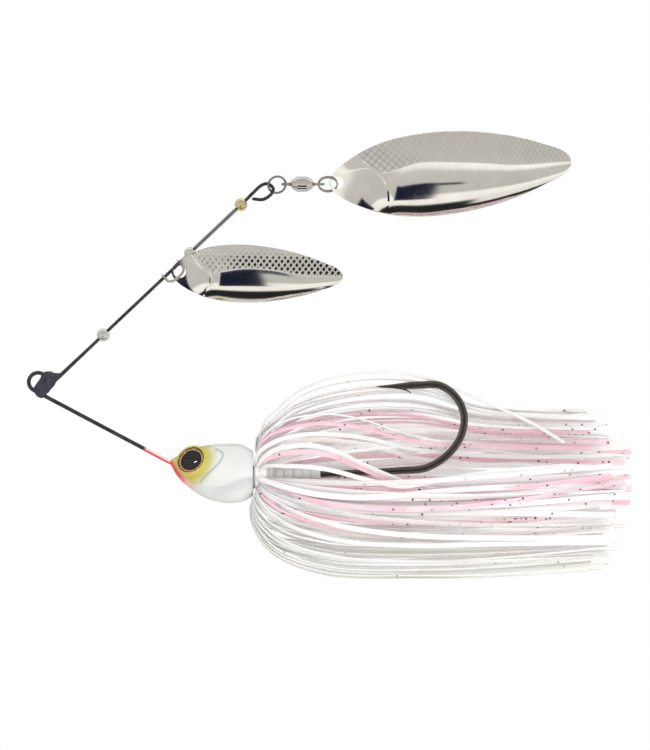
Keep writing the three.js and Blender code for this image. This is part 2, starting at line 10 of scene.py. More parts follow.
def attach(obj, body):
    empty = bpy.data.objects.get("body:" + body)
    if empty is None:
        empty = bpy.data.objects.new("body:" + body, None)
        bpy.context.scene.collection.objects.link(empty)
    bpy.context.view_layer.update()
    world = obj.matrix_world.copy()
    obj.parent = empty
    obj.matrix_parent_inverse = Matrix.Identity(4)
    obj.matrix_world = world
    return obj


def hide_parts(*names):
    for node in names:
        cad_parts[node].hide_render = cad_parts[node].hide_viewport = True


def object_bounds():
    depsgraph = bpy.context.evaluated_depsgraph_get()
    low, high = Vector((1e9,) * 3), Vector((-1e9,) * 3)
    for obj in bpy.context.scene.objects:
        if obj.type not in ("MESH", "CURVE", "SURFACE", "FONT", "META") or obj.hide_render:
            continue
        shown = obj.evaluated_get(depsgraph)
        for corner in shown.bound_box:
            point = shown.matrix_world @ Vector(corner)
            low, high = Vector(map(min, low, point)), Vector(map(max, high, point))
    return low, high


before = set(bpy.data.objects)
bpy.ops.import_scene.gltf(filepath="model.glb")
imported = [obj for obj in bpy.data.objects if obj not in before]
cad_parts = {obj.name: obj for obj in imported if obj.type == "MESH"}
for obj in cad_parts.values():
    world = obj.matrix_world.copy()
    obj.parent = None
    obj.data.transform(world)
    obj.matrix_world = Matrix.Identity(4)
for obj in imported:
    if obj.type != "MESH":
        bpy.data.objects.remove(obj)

CAD_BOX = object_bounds()
MM = 0.001

# ---- driving dimensions, in millimetres ----

# The wire: its thickness below and above the tie, and its two arms.
LOWER_WIRE = 0.95
UPPER_WIRE = 0.8
TIE_RADIUS = 2.2
TIE_END_ANGLE = math.radians(35)
LOWER_ARM_ANGLE = math.radians(-27.9)
LOWER_ARM_LENGTH = 34.5
PAINT_FROM = 29.4
PAINT_FULL = 30.4
UPPER_ARM_ANGLE = math.radians(43.4)
UPPER_ARM_LENGTH = 60.3
ARM_START = np.array((5.71, 0, 1.92))
TAPER_END = 9

# Pieces on the upper arm, by their distance along it.
ARM_BORE = UPPER_WIRE / 2 + 0.1
STOP_BEAD_AT = 13.5
CLEVIS_AT = 36
BEARING_BEAD_AT = 41.9
SPACER_AT = 43.45
SPACER_LENGTH = 13.55
BRASS_BEAD_AT = 58.65

# The swivel, its rings and the sheet of the blades.
SWIVEL_Y = 0.4
SWIVEL_Z = 47.1
BARREL_START = 60.25
BARREL_LENGTH = 5.2
BARREL_RADIUS = 1.82
SPLIT_RING_RADIUS = 2.25
SPLIT_RING_RISE = 0.21
SHEET = 0.5
HOLE_RADIUS = 1.5

# The head, the hook in it and its eyes.
HEAD_BACK = 51.2
SHANK_ANGLE = math.radians(2.64)
HOOK_EYE = np.array((39.4, 0, -23.25))
EYE_RADIUS = 3.3
EYE_PLACE = np.array((36.65, 2.75, -18.7))
EYE_AXIS = np.array((-0.35, 0.82, 0.46))
FOIL = 0.3
DOME_BASE = FOIL + 0.1
DOME_HEIGHT = 1.05

# ---- points and curves ----


def lerp(a, b, t):
    return a + (b - a) * t


def smoothstep(value, low, high):
    t = np.clip((value - low) / (high - low), 0, 1)
    return t * t * (3 - 2 * t)


def direction(angle):
    """The unit vector at an angle from x up toward z."""
    return np.array((math.cos(angle), 0, math.sin(angle)))


def unit(vector):
    vector = np.asarray(vector, float)
    return vector / np.linalg.norm(vector)


def smooth(points, steps, power=0.5):
    """Points of a Catmull-Rom curve through the given points; power 0.5 is the centripetal kind."""
    p = np.asarray(points, float)
    p = np.vstack([2 * p[0] - p[1], p, 2 * p[-1] - p[-2]])
    spans = len(p) - 3
    out = []
    for i in range(steps + 1):
        place = i / steps * spans
        k = min(int(place), spans - 1)
        t = place - k
        p0, p1, p2, p3 = p[k : k + 4]
        d0, d1, d2 = (max(np.linalg.norm(b - a), 1e-6) ** power for a, b in ((p0, p1), (p1, p2), (p2, p3)))
        m1 = ((p1 - p0) / d0 - (p2 - p0) / (d0 + d1) + (p2 - p1) / d1) * d1
        m2 = ((p2 - p1) / d1 - (p3 - p1) / (d1 + d2) + (p3 - p2) / d2) * d1
        a = 2 * p1 - 2 * p2 + m1 + m2
        b = -3 * p1 + 3 * p2 - 2 * m1 - m2
        out.append(a * t**3 + b * t**2 + m1 * t + p1)
    return np.array(out)


def frames_along(route, across):
    """At each point of a route, two directions across it that turn as little as possible."""
    normal = np.asarray(across, float)
    found = []
    for i in range(len(route)):
        along = unit(route[min(i + 1, len(route) - 1)] - route[max(i - 1, 0)])
        normal = unit(normal - along * normal.dot(along))
        found.append((normal, np.cross(along, normal)))
    return found


# ---- closed shapes: each is (vertices, faces) ----


def rings_to_shape(rings, caps=True):
    """Stacked rings of equal size as one closed shape; each cap closes on its ring's middle."""
    count, sides = len(rings), len(rings[0])
    vertices = [tuple(p) for ring in rings for p in ring]
    faces = []
    for i in range(count - 1 if caps else count):
        low, high = i * sides, (i + 1) % count * sides
        for j in range(sides):
            k = (j + 1) % sides
            faces.append((low + j, low + k, high + k, high + j))
    if caps:
        for ring, start in ((rings[0], 0), (rings[-1], (count - 1) * sides)):
            middle = len(vertices)
            vertices.append(tuple(np.mean(ring, axis=0)))
            for j in range(sides):
                faces.append((start + j, start + (j + 1) % sides, middle))
    return vertices, faces


ROUND_END = [(0.35, 0.9), (0.75, 0.63)]


def sweep(route, size, sides=16, across=(0, 1, 0), square=1.0):
    """A round-ended bar along a route. size(t, point) is its half width along `across` and square to it."""
    route = np.asarray(route, float)
    frames = frames_along(route, across)
    last = len(route) - 1
    rings = []

    def ring(i, share, shift):
        normal, binormal = frames[i]
        wide, deep = size(i / last, route[i])
        middle = route[i] + np.cross(normal, binormal) * shift * min(wide, deep)
        out = []
        for j in range(sides):
            c, s = math.cos(2 * math.pi * j / sides), math.sin(2 * math.pi * j / sides)
            c = math.copysign(abs(c) ** square, c)
            s = math.copysign(abs(s) ** square, s)
            out.append(middle + share * (normal * wide * c + binormal * deep * s))
        return out

    rings += [ring(0, share, -shift) for share, shift in ROUND_END]
    rings += [ring(i, 1, 0) for i in range(len(route))]
    rings += [ring(last, share, shift) for share, shift in reversed(ROUND_END)]
    return rings_to_shape(rings)


def round_bar(half):
    """The size of an even round bar, for sweep()."""
    return lambda t, point: (half, half)


def turned(profile, segments=48):
    """A shape turned about x from (radius, place) pairs that run from axis to axis or close on themselves."""
    solid = profile[0][0] == 0
    points = profile[1:-1] if solid else profile
    rings = []
    for radius, place in points:
        angles = [2 * math.pi * j / segments for j in range(segments)]
        rings.append([(place, radius * math.cos(a), radius * math.sin(a)) for a in angles])
    vertices, faces = rings_to_shape(rings, caps=solid)
    if solid:
        vertices[-2] = (profile[0][1], 0, 0)
        vertices[-1] = (profile[-1][1], 0, 0)
    return vertices, faces


def torus(radius, half, segments=48, sides=14):
    """A ring in the xy plane."""
    rings = []
    for i in range(segments):
        a = 2 * math.pi * i / segments
        ring = []
        for j in range(sides):
            b = 2 * math.pi * j / sides
            reach = radius + half * math.cos(b)
            ring.append((reach * math.cos(a), reach * math.sin(a), half * math.sin(b)))
        rings.append(ring)
    return rings_to_shape(rings, caps=False)


def rounded_profile(profile, radius, steps=3):
    """A closed profile with its corners rounded by short arcs."""
    p = np.asarray(profile, float)
    out = []
    for i in range(len(p)):
        before, corner, after = p[i - 1], p[i], p[(i + 1) % len(p)]
        r1 = min(radius, np.linalg.norm(before - corner) / 2.2)
        r2 = min(radius, np.linalg.norm(after - corner) / 2.2)
        a = corner + unit(before - corner) * r1
        b = corner + unit(after - corner) * r2
        for k in range(steps + 1):
            t = k / steps
            out.append(tuple((1 - t) ** 2 * a + 2 * t * (1 - t) * corner + t**2 * b))
    return out


def moved(shape, matrix):
    vertices, faces = shape
    return [tuple(matrix @ Vector(p)) for p in vertices], faces


def basis(first, second, third, origin):
    rows = np.column_stack([first, second, third, origin])
    return Matrix([*rows.tolist(), [0, 0, 0, 1]])


def aim(point, axis):
    """The matrix that turns the x axis to another axis and moves the origin to a point."""
    turn = Vector((1, 0, 0)).rotation_difference(Vector(unit(axis))).to_matrix().to_4x4()
    return Matrix.Translation(Vector(point)) @ turn


def aimed(shape, point, axis):
    return moved(shape, aim(point, axis))


# ---- Blender objects ----


def object_of(name, shapes):
    """One object, in lure millimetres, from shapes as (vertices, faces), with a material slot if need be."""
    vertices, faces, slots = [], [], []
    for shape in shapes:
        offset = len(vertices)
        vertices += list(shape[0])
        faces += [tuple(i + offset for i in face) for face in shape[1]]
        slots += [shape[2] if len(shape) > 2 else 0] * len(shape[1])
    data = bpy.data.meshes.new(name)
    data.from_pydata([tuple(map(float, p)) for p in vertices], [], faces)
    data.polygons.foreach_set("material_index", slots)
    edit = bmesh.new()
    edit.from_mesh(data)
    bmesh.ops.recalc_face_normals(edit, faces=edit.faces)
    edit.to_mesh(data)
    edit.free()
    made = bpy.data.objects.new(name, data)
    bpy.context.scene.collection.objects.link(made)
    return made


def modified(thing, kind, **settings):
    """Adds a modifier and applies it."""
    modifier = thing.modifiers.new(kind, kind)
    for key, value in settings.items():
        setattr(modifier, key, value)
    bpy.context.view_layer.update()
    graph = bpy.context.evaluated_depsgraph_get()
    data = bpy.data.meshes.new_from_object(thing.evaluated_get(graph), depsgraph=graph)
    thing.modifiers.clear()
    thing.data = data
    return thing


def carved(thing, *tools):
    """Cuts shapes out of an object."""
    for tool_shape in tools:
        tool = object_of("tool", [tool_shape])
        modified(thing, "BOOLEAN", operation="DIFFERENCE", object=tool, solver="EXACT")
        bpy.data.objects.remove(tool)
    return thing


def per_vertex(thing, what):
    flat = np.empty(len(thing.data.vertices) * 3)
    thing.data.vertices.foreach_get(what, flat)
    return flat.reshape(-1, 3)


def coordinates(thing):
    return per_vertex(thing, "co")


def reshape(thing, points):
    thing.data.vertices.foreach_set("co", np.asarray(points, float).ravel())
    thing.data.update()


def normals(thing):
    return per_vertex(thing, "normal")


def paint(thing, name, values):
    """Stores one number per vertex, which a material reads as a mask."""
    layer = thing.data.attributes.new(name, "FLOAT", "POINT")
    layer.data.foreach_set("value", np.asarray(values, np.float32))


def shown(thing, materials, body, slot, *nodes, sharp=35):
    """Finishes a piece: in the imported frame's axes, smooth shaded, on its body, in place of its CAD nodes."""
    p = coordinates(thing)
    reshape(thing, np.stack([p[:, 2], p[:, 1], -p[:, 0]], axis=1) * MM)
    for one in materials:
        thing.data.materials.append(one)
    thing.data.polygons.foreach_set("use_smooth", [True] * len(thing.data.polygons))
    thing.data.set_sharp_from_angle(angle=math.radians(sharp))
    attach(thing, body)
    if nodes:
        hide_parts(*nodes)
    return thing


# ---- materials ----


class Nodes:
    """A short way to write the node tree of a material, given by its name, or of a world."""

    def __init__(self, owner):
        if isinstance(owner, str):
            owner = bpy.data.materials.new(owner)
        owner.use_nodes = True
        self.owner = owner
        self.tree = owner.node_tree
        self.shader = self.tree.nodes.get("Principled BSDF")

    def add(self, kind, settings=None, **inputs):
        node = self.tree.nodes.new("ShaderNode" + kind)
        for key, value in (settings or {}).items():
            setattr(node, key, value)
        for key, value in inputs.items():
            self.put(node.inputs[key.replace("_", " ")], value)
        return node

    def put(self, socket, value):
        if isinstance(value, bpy.types.NodeSocket):
            self.tree.links.new(value, socket)
        else:
            socket.default_value = value

    def set(self, **inputs):
        for key, value in inputs.items():
            self.put(self.shader.inputs[key.replace("_", " ")], value)

    def place(self):
        return self.add("TexCoord").outputs["Object"]

    def noise(self, size_mm, detail, vector=None):
        made = self.add("TexNoise", Vector=vector or self.place(), Scale=1 / (size_mm * MM), Detail=detail)
        return made.outputs["Fac"]

    def span(self, value, low, high, to_low, to_high):
        made = self.add("MapRange", Value=value, From_Min=low, From_Max=high, To_Min=to_low, To_Max=to_high)
        return made.outputs["Result"]

    def cloud(self, size_mm, detail, dark, light, low=0.35, high=0.65, vector=None):
        """Two tones that change softly from place to place."""
        share = self.span(self.noise(size_mm, detail, vector), low, high, 0, 1)
        return self.mix(share, dark, light)

    def mix(self, share, a, b):
        made = self.add("Mix", {"data_type": "RGBA"})
        self.put(made.inputs[0], share)
        self.put(made.inputs[6], (*a, 1) if isinstance(a, tuple) else a)
        self.put(made.inputs[7], (*b, 1) if isinstance(b, tuple) else b)
        return made.outputs[2]

    def math(self, operation, a, b=0.0):
        made = self.add("Math", {"operation": operation})
        self.put(made.inputs[0], a)
        self.put(made.inputs[1], b)
        return made.outputs[0]

    def ease(self, value, low, high):
        settings = {"interpolation_type": "SMOOTHSTEP"}
        return self.add("MapRange", settings, Value=value, From_Min=low, From_Max=high).outputs["Result"]

    def band(self, value, low, high, soft):
        """1 between two limits, easing to 0 outside them."""
        rise = self.ease(value, low - soft, low + soft)
        fall = self.ease(value, high - soft, high + soft)
        return self.math("SUBTRACT", rise, fall)

    def mask(self, name):
        return self.add("Attribute", {"attribute_name": name}).outputs["Fac"]

    def bump(self, height, depth_mm):
        self.set(Normal=self.add("Bump", Height=height, Distance=depth_mm * MM).outputs["Normal"])


def metal(name, light, dark, smooth_rough, worn_rough):
    """Plated metal: two tones, and fine wear in its gloss."""
    n = Nodes(name)
    n.set(Base_Color=n.cloud(2.4, 4, dark, light), Metallic=1.0)
    n.set(Roughness=n.span(n.noise(0.6, 5), 0.35, 0.7, smooth_rough, worn_rough))
    return n.owner


def blade_metal():
    """Nickel plate: a mirror, satin where fine scales are stamped, with painted shade down in deep dimples and
    along the fine grooves.
    """
    n = Nodes("blade_nickel")
    satin = n.mask("satin")
    fine = n.noise(0.25, 6)
    mirror = n.span(fine, 0.35, 0.7, 0.05, 0.11)
    rough = n.span(fine, 0.35, 0.7, 0.24, 0.29)
    plate = n.cloud(3.0, 4, (0.83, 0.80, 0.735), (0.89, 0.86, 0.80))
    # Painted shade: the plate turns near black down in the deep dimples.
    shaded_dimples = n.mix(n.ease(n.mask("dimple_painted_shade"), 0.35, 0.95), plate, (0.03, 0.03, 0.035))
    first = n.math("ABSOLUTE", n.math("SINE", n.math("ADD", n.mask("across"), n.mask("up"))))
    second = n.math("ABSOLUTE", n.math("SINE", n.math("SUBTRACT", n.mask("across"), n.mask("up"))))
    line = n.ease(n.math("MINIMUM", first, second), 0.34, 0.06)
    groove_painted_shade = n.math("MULTIPLY", line, n.mask("groove_painted_shade"))
    # Painted shade along the fine grooves darkens the plate toward brown.
    n.set(
        Base_Color=n.mix(n.math("MULTIPLY", groove_painted_shade, 0.6), shaded_dimples, (0.20, 0.19, 0.16)),
        Metallic=1.0,
        Roughness=n.math("ADD", mirror, n.math("MULTIPLY", satin, n.math("SUBTRACT", rough, mirror))),
    )
    n.bump(n.math("MULTIPLY", fine, n.math("ADD", n.math("MULTIPLY", satin, 0.9), 0.1)), 0.002)
    return n.owner


def rubber(name, light, dark):
    n = Nodes(name)
    fine = n.noise(0.35, 5)
    n.set(Base_Color=n.cloud(1.6, 3, dark, light), Roughness=n.span(fine, 0.3, 0.7, 0.45, 0.65))
    n.bump(fine, 0.05)
    return n.owner


def clear_tube():
    n = Nodes("clear_tube")
    fine = n.noise(0.5, 4)
    n.set(Base_Color=n.mix(fine, (0.50, 0.51, 0.53), (0.60, 0.61, 0.63)), Alpha=0.08)
    n.set(Roughness=n.span(fine, 0.3, 0.7, 0.04, 0.14))
    return n.owner


def head_paint():
    """Pearl white, olive round the eyes, red to pink along the throat, a grey gill line and a painted shadow
    under the cheek crease; clear coated.
    """
    n = Nodes("head_paint")
    speck = n.noise(0.12, 2)
    pearl = n.cloud(5.0, 2, (0.61, 0.64, 0.60), (0.66, 0.66, 0.66), 0.3, 0.7)
    # Painted shadow: the pearl darkens under the cheek crease.
    shade = n.mix(n.mask("below"), pearl, (0.51, 0.54, 0.53))
    olive = n.mix(n.span(speck, 0.3, 0.7, 0, 1), (0.42, 0.37, 0.04), (0.53, 0.49, 0.10))
    eyed = n.mix(n.mask("olive"), shade, olive)
    throat = n.mix(n.mask("throat_deep"), (0.93, 0.42, 0.44), (0.78, 0.015, 0.03))
    throated = n.mix(n.mask("throat"), eyed, throat)
    lined = n.mix(n.math("MULTIPLY", n.mask("gill"), 0.8), throated, (0.24, 0.28, 0.36))
    n.set(Base_Color=lined, Metallic=0.0, Roughness=n.span(speck, 0.3, 0.7, 0.26, 0.4))
    n.set(Coat_Weight=0.8, Coat_Roughness=0.06, Specular_IOR_Level=0.5)
    n.bump(speck, 0.006)
    return n.owner


def eye_foil():
    """A printed disc: black pupil, bronze iris, dark rim. Its centre is found by the stored radius."""
    n = Nodes("eye_foil")
    radius = n.mask("radius")
    streak = n.noise(0.3, 4)
    bronze = n.mix(n.span(streak, 0.3, 0.7, 0, 1), (0.16, 0.06, 0.025), (0.50, 0.27, 0.13))
    iris = n.mix(n.span(radius, 0.89, 0.95, 0, 1), bronze, (0.05, 0.02, 0.01))
    ringed = n.span(radius, 0.785, 0.81, 0, 1)
    n.set(Base_Color=n.mix(ringed, (0.004, 0.004, 0.004), iris), Metallic=n.math("MULTIPLY", ringed, 0.8))
    n.set(Roughness=n.span(streak, 0.3, 0.7, 0.25, 0.4), Specular_IOR_Level=0.0)
    return n.owner


def eye_dome():
    n = Nodes("eye_dome")
    fine = n.noise(0.8, 3)
    n.set(Base_Color=n.mix(fine, (0.98, 0.97, 0.95), (1.0, 1.0, 1.0)), IOR=1.02, Transmission_Weight=1.0)
    n.set(Roughness=0.0, Coat_Weight=0.6, Coat_Roughness=n.span(fine, 0.3, 0.7, 0.01, 0.03))
    return n.owner


# Flakes in the silicone: the size of their cells, a flake's radius as a share of it, the heights between
# which their share grows, and how it grows.
FLAKE_SPACING = 1.15 * MM
FLAKE_RADIUS = 0.27
FLAKES_BEGIN, FLAKES_FULL = -0.06, -0.125
FLAKES_AT_FRONT, FLAKES_AT_TIPS = 0.45, 1.7
SILICONE_GLOW = 0.6


def silicone(name, light, dark, alpha, flakes, colours):
    """Skirt silicone: soft tone changes, and a share of its cells holding a flake, more of them aft."""
    n = Nodes(name)
    where = n.place()
    body = n.cloud(7.0, 3, dark, light, vector=where)
    if flakes:
        cells = n.add("TexVoronoi", Vector=where, Scale=1 / FLAKE_SPACING)
        chosen = n.add("SeparateColor", Color=cells.outputs["Color"])
        inside = n.math("LESS_THAN", cells.outputs["Distance"], FLAKE_RADIUS)
        height = n.add("SeparateXYZ", Vector=where).outputs["Z"]
        few, many = FLAKES_AT_FRONT * flakes, FLAKES_AT_TIPS * flakes
        share = n.span(height, FLAKES_BEGIN, FLAKES_FULL, few, many)
        picked = n.math("LESS_THAN", chosen.outputs["Red"], share)
        kind = chosen.outputs["Green"]
        flake = n.mix(n.math("GREATER_THAN", kind, 0.45), colours[0], colours[1])
        flake = n.mix(n.math("GREATER_THAN", kind, 0.8), flake, colours[2])
        body = n.mix(n.math("MULTIPLY", inside, picked), body, flake)
    n.set(Base_Color=body, Alpha=alpha, Roughness=n.span(n.noise(0.8, 3, where), 0.3, 0.7, 0.27, 0.45))
    n.set(Specular_IOR_Level=0.4, Subsurface_Weight=SILICONE_GLOW, Subsurface_Scale=0.5 * MM)
    n.set(Subsurface_Radius=(1.0, 1.0, 1.0))
    n.bump(n.noise(0.6, 3, where), 0.02)
    return n.owner


NICKEL = metal("nickel", (0.84, 0.83, 0.79), (0.74, 0.73, 0.69), 0.06, 0.16)
# Painted shade: darker copies of the same nickel for the front ring, the swivel stems with the split ring, and
# the clevis.
SHADED_RING_NICKEL = metal("ring_nickel_shaded", (0.40, 0.39, 0.37), (0.26, 0.25, 0.24), 0.12, 0.24)
SHADED_STEM_NICKEL = metal("stem_nickel_shaded", (0.56, 0.53, 0.48), (0.42, 0.39, 0.35), 0.06, 0.16)
SHADED_CLEVIS_NICKEL = metal("clevis_nickel_shaded", (0.66, 0.65, 0.60), (0.50, 0.49, 0.45), 0.08, 0.2)
WARM_NICKEL = metal("warm_nickel", (0.80, 0.76, 0.69), (0.70, 0.66, 0.60), 0.05, 0.14)
BRASS = metal("polished_brass", (0.86, 0.74, 0.43), (0.74, 0.61, 0.31), 0.08, 0.2)
BLADE = blade_metal()
SLEEVE = rubber("sleeve_rubber", (0.035, 0.035, 0.05), (0.016, 0.016, 0.024))
BAND = rubber("band_rubber", (0.86, 0.85, 0.82), (0.74, 0.73, 0.71))
TUBE = clear_tube()
HEAD = head_paint()
EYE_FOIL = eye_foil()
DOME = eye_dome()

# Black, green and purple flakes; and silver, grey and white ones.
DARK_FLAKES = ((0.01, 0.01, 0.012), (0.02, 0.16, 0.10), (0.10, 0.03, 0.16))
PALE_FLAKES = ((0.5, 0.5, 0.52), (0.34, 0.35, 0.36), (0.95, 0.95, 0.97))
SKIRT = [
    silicone("silicone_white", (0.80, 0.80, 0.79), (0.77, 0.77, 0.76), 1.0, 0, None),
    silicone("silicone_pearl", (0.96, 0.955, 0.945), (0.92, 0.91, 0.90), 0.75, 0.10, DARK_FLAKES),
    silicone("silicone_pink", (0.99, 0.71, 0.77), (0.98, 0.60, 0.68), 0.8, 0.26, DARK_FLAKES),
    silicone("silicone_clear", (0.95, 0.93, 0.91), (0.91, 0.88, 0.865), 0.5, 0.14, PALE_FLAKES),
    silicone("silicone_cream", (0.97, 0.965, 0.93), (0.94, 0.93, 0.89), 0.7, 0.07, PALE_FLAKES),
]
WHITE, PEARL, PINK, CLEAR, CREAM = range(5)

# ---- wire frame ----

ARM = direction(UPPER_ARM_ANGLE)
LOWER = direction(LOWER_ARM_ANGLE)
WIRE_END = [(39.4, 1.5, -23.25), (39.4, -0.4, -23.25), (39, -1.45, -23.1), (37.4, -1.5, -22.4),
            (34.6, -0.5, -20.7)]
UNDER_SLEEVE = [(2.55, 0, 0.62), (3.25, 0, 0.28), (4, 0, 0.5)]
WIRE_EYE = [(51.3, 0.15, 45.15), (53.2, 0.35, 46.85), (54.7, 0.42, 47.2), (56, -0.15, 45.95),
            (55.4, -0.45, 44.6), (53.6, -0.45, 43.45), (51.3, -0.4, 43.55)]


def arm_point(distance):
    return ARM_START + ARM * distance


def tie_loop():
    angles = np.linspace(LOWER_ARM_ANGLE - math.pi / 2, TIE_END_ANGLE - 2 * math.pi, 49)
    return np.array([TIE_RADIUS * direction(a) for a in angles])


def wire_route():
    """The wire's middle line, from its bent end inside the head to its open eye."""
    loop = tie_loop()
    in_head = smooth(WIRE_END, 24)
    lower_arm = [loop[0] + LOWER * d for d in np.linspace(LOWER_ARM_LENGTH, 1, 90)]
    under_sleeve = smooth([loop[-1], *UNDER_SLEEVE, arm_point(-1), arm_point(0)], 24)
    arm = [arm_point(d) for d in np.linspace(1, UPPER_ARM_LENGTH - 1, 30)]
    eye = smooth([arm_point(UPPER_ARM_LENGTH), *WIRE_EYE], 70)
    return np.vstack([in_head, lower_arm, loop, under_sleeve[1:], arm, eye])


def wire_size(_, point):
    thin = np.clip((point[2] - ARM_START[2]) / (arm_point(TAPER_END)[2] - ARM_START[2]), 0, 1)
    half = lerp(LOWER_WIRE, UPPER_WIRE, thin) / 2
    return half, half


def wire_paint():
    """The wire's own black, with the head's white and red paint run up its last stretch."""
    n = Nodes("wire_paint")
    fine = n.noise(0.5, 5)
    black = n.cloud(2.0, 4, (0.05, 0.05, 0.055), (0.10, 0.10, 0.105))
    coat = n.mix(n.mask("under"), (0.62, 0.63, 0.58), (0.72, 0.02, 0.03))
    n.set(Base_Color=n.mix(n.mask("painted"), black, coat))
    n.set(Metallic=n.math("MULTIPLY", n.math("SUBTRACT", 1.0, n.mask("painted")), 0.95))
    n.set(Roughness=n.span(fine, 0.35, 0.7, 0.24, 0.32))
    return n.owner


def make_wire():
    wire = object_of("bent_wire", [sweep(wire_route(), wire_size, 20)])
    p = coordinates(wire)
    up = np.array((-LOWER[2], 0, LOWER[0]))
    from_tie = (p - tie_loop()[0]) @ LOWER
    on_arm = (p[:, 2] < 0) & (from_tie > LOWER_ARM_LENGTH / 2)
    paint(wire, "painted", np.where(on_arm, smoothstep(from_tie, PAINT_FROM, PAINT_FULL), 0))
    paint(wire, "under", smoothstep(-((p - tie_loop()[0]) @ up), -0.12, 0.04))
    shown(wire, [wire_paint()], "root", "black_wire", "wire_frame")


# The sleeve's outline in the wire's plane; and across it, places and the share of the outline there.
SLEEVE_OUTLINE = [(1.5, 2.3), (2.95, 2.5), (4.3, 2.05), (5.4, 1.95), (5.05, 0.9), (4.45, 0.2), (3.8, -0.85),
                  (2.5, -2.4), (1.6, -3.2), (0.85, -3.8), (0.1, -3.6), (-0.45, -3), (-1.2, -2), (-0.9, -1.2),
                  (0.3, 0.6)]
SLEEVE_LEVELS = [(-0.95, 0.86), (-0.85, 0.95), (-0.6, 1), (0, 1.01), (0.6, 1), (0.85, 0.95), (0.95, 0.86)]
SLEEVE_MIDDLE = np.array((2.2, -0.4))


def make_sleeve():
    """The rubber sleeve: a lumpy block with rounded edges."""
    outline = smooth(SLEEVE_OUTLINE, 70)
    rings = []
    for y, share in SLEEVE_LEVELS:
        rings.append([(x, y, z) for x, z in lerp(SLEEVE_MIDDLE, outline, share)])
    block = object_of("sleeve_block", [rings_to_shape(rings)])
    modified(block, "REMESH", mode="VOXEL", voxel_size=0.11)
    modified(block, "SMOOTH", factor=0.6, iterations=6)
    p, out = coordinates(block), normals(block)
    lumps = np.array([noise.noise(Vector(q) * 1.1) + 0.4 * noise.noise(Vector(q) * 3.1) for q in p])
    reshape(block, p + out * lumps[:, None] * 0.16)
    shown(block, [SLEEVE], "root", "sleeve_rubber", "tie_sleeve")


# ---- pieces on the upper arm ----


def bead(diameter):
    radius = diameter / 2
    start = math.asin(ARM_BORE / radius)
    angles = np.linspace(start, math.pi - start, 26)
    profile = [(radius * math.sin(a), -radius * math.cos(a)) for a in angles]
    return turned(profile, 48)


def make_arm_pieces():
    for name, size, at, material, slot, body in (
        ("stop_bead", 3.1, STOP_BEAD_AT, NICKEL, "nickel", "root"),
        ("bearing_bead", 2.8, BEARING_BEAD_AT, NICKEL, "nickel", "bearing_bead"),
        ("brass_bead", 3.0, BRASS_BEAD_AT, BRASS, "brass_bead", "brass_bead"),
    ):
        made = object_of(name + "_ball", [aimed(bead(size), arm_point(at), ARM)])
        shown(made, [material], body, slot, name)
    inner, outer = ARM_BORE + 0.04, 0.825
    wall = [(inner, 0), (outer, 0), (outer, SPACER_LENGTH), (inner, SPACER_LENGTH)]
    tube = turned(rounded_profile(wall, 0.08), 40)
    tube = object_of("spacer_sleeve", [aimed(tube, arm_point(SPACER_AT), ARM)])
    shown(tube, [TUBE], "spacer_tube", "clear_tube", "spacer_tube")


# The clevis: half the gap between its ears, its turn on the arm, and its strap from ear to ear.
CLEVIS_HALF = 2.5
CLEVIS_TURN = math.radians(28)
CLEVIS_STRAP = [
    (-CLEVIS_HALF, 0.6, 0), (-CLEVIS_HALF, 1.4, -0.1), (-1.75, 2.45, -0.25), (-0.6, 2.8, -0.3),
    (0.5, 2.75, -0.15), (1.5, 2.5, 0), (2.25, 1.95, 0), (CLEVIS_HALF, 1.2, 0), (CLEVIS_HALF, 0.6, 0),
]


def make_clevis():
    across = np.array((ARM[2], 0, -ARM[0]))
    outward = across * math.cos(CLEVIS_TURN) - np.array((0, 1, 0)) * math.sin(CLEVIS_TURN)
    matrix = basis(ARM, outward, np.cross(ARM, outward), arm_point(CLEVIS_AT))
    shapes = [sweep(smooth(CLEVIS_STRAP, 60), round_bar(0.3), 14, (0, 0, 1))]
    for place in (-CLEVIS_HALF, CLEVIS_HALF):
        ear = [(ARM_BORE, place - 0.2), (0.95, place - 0.2), (0.95, place + 0.2), (ARM_BORE, place + 0.2)]
        shapes.append(turned(rounded_profile(ear, 0.12), 40))
    made = object_of("clevis_stirrup", [moved(shape, matrix) for shape in shapes])
    shown(made, [SHADED_CLEVIS_NICKEL], "clevis", "nickel", "clevis")


# ---- blades ----

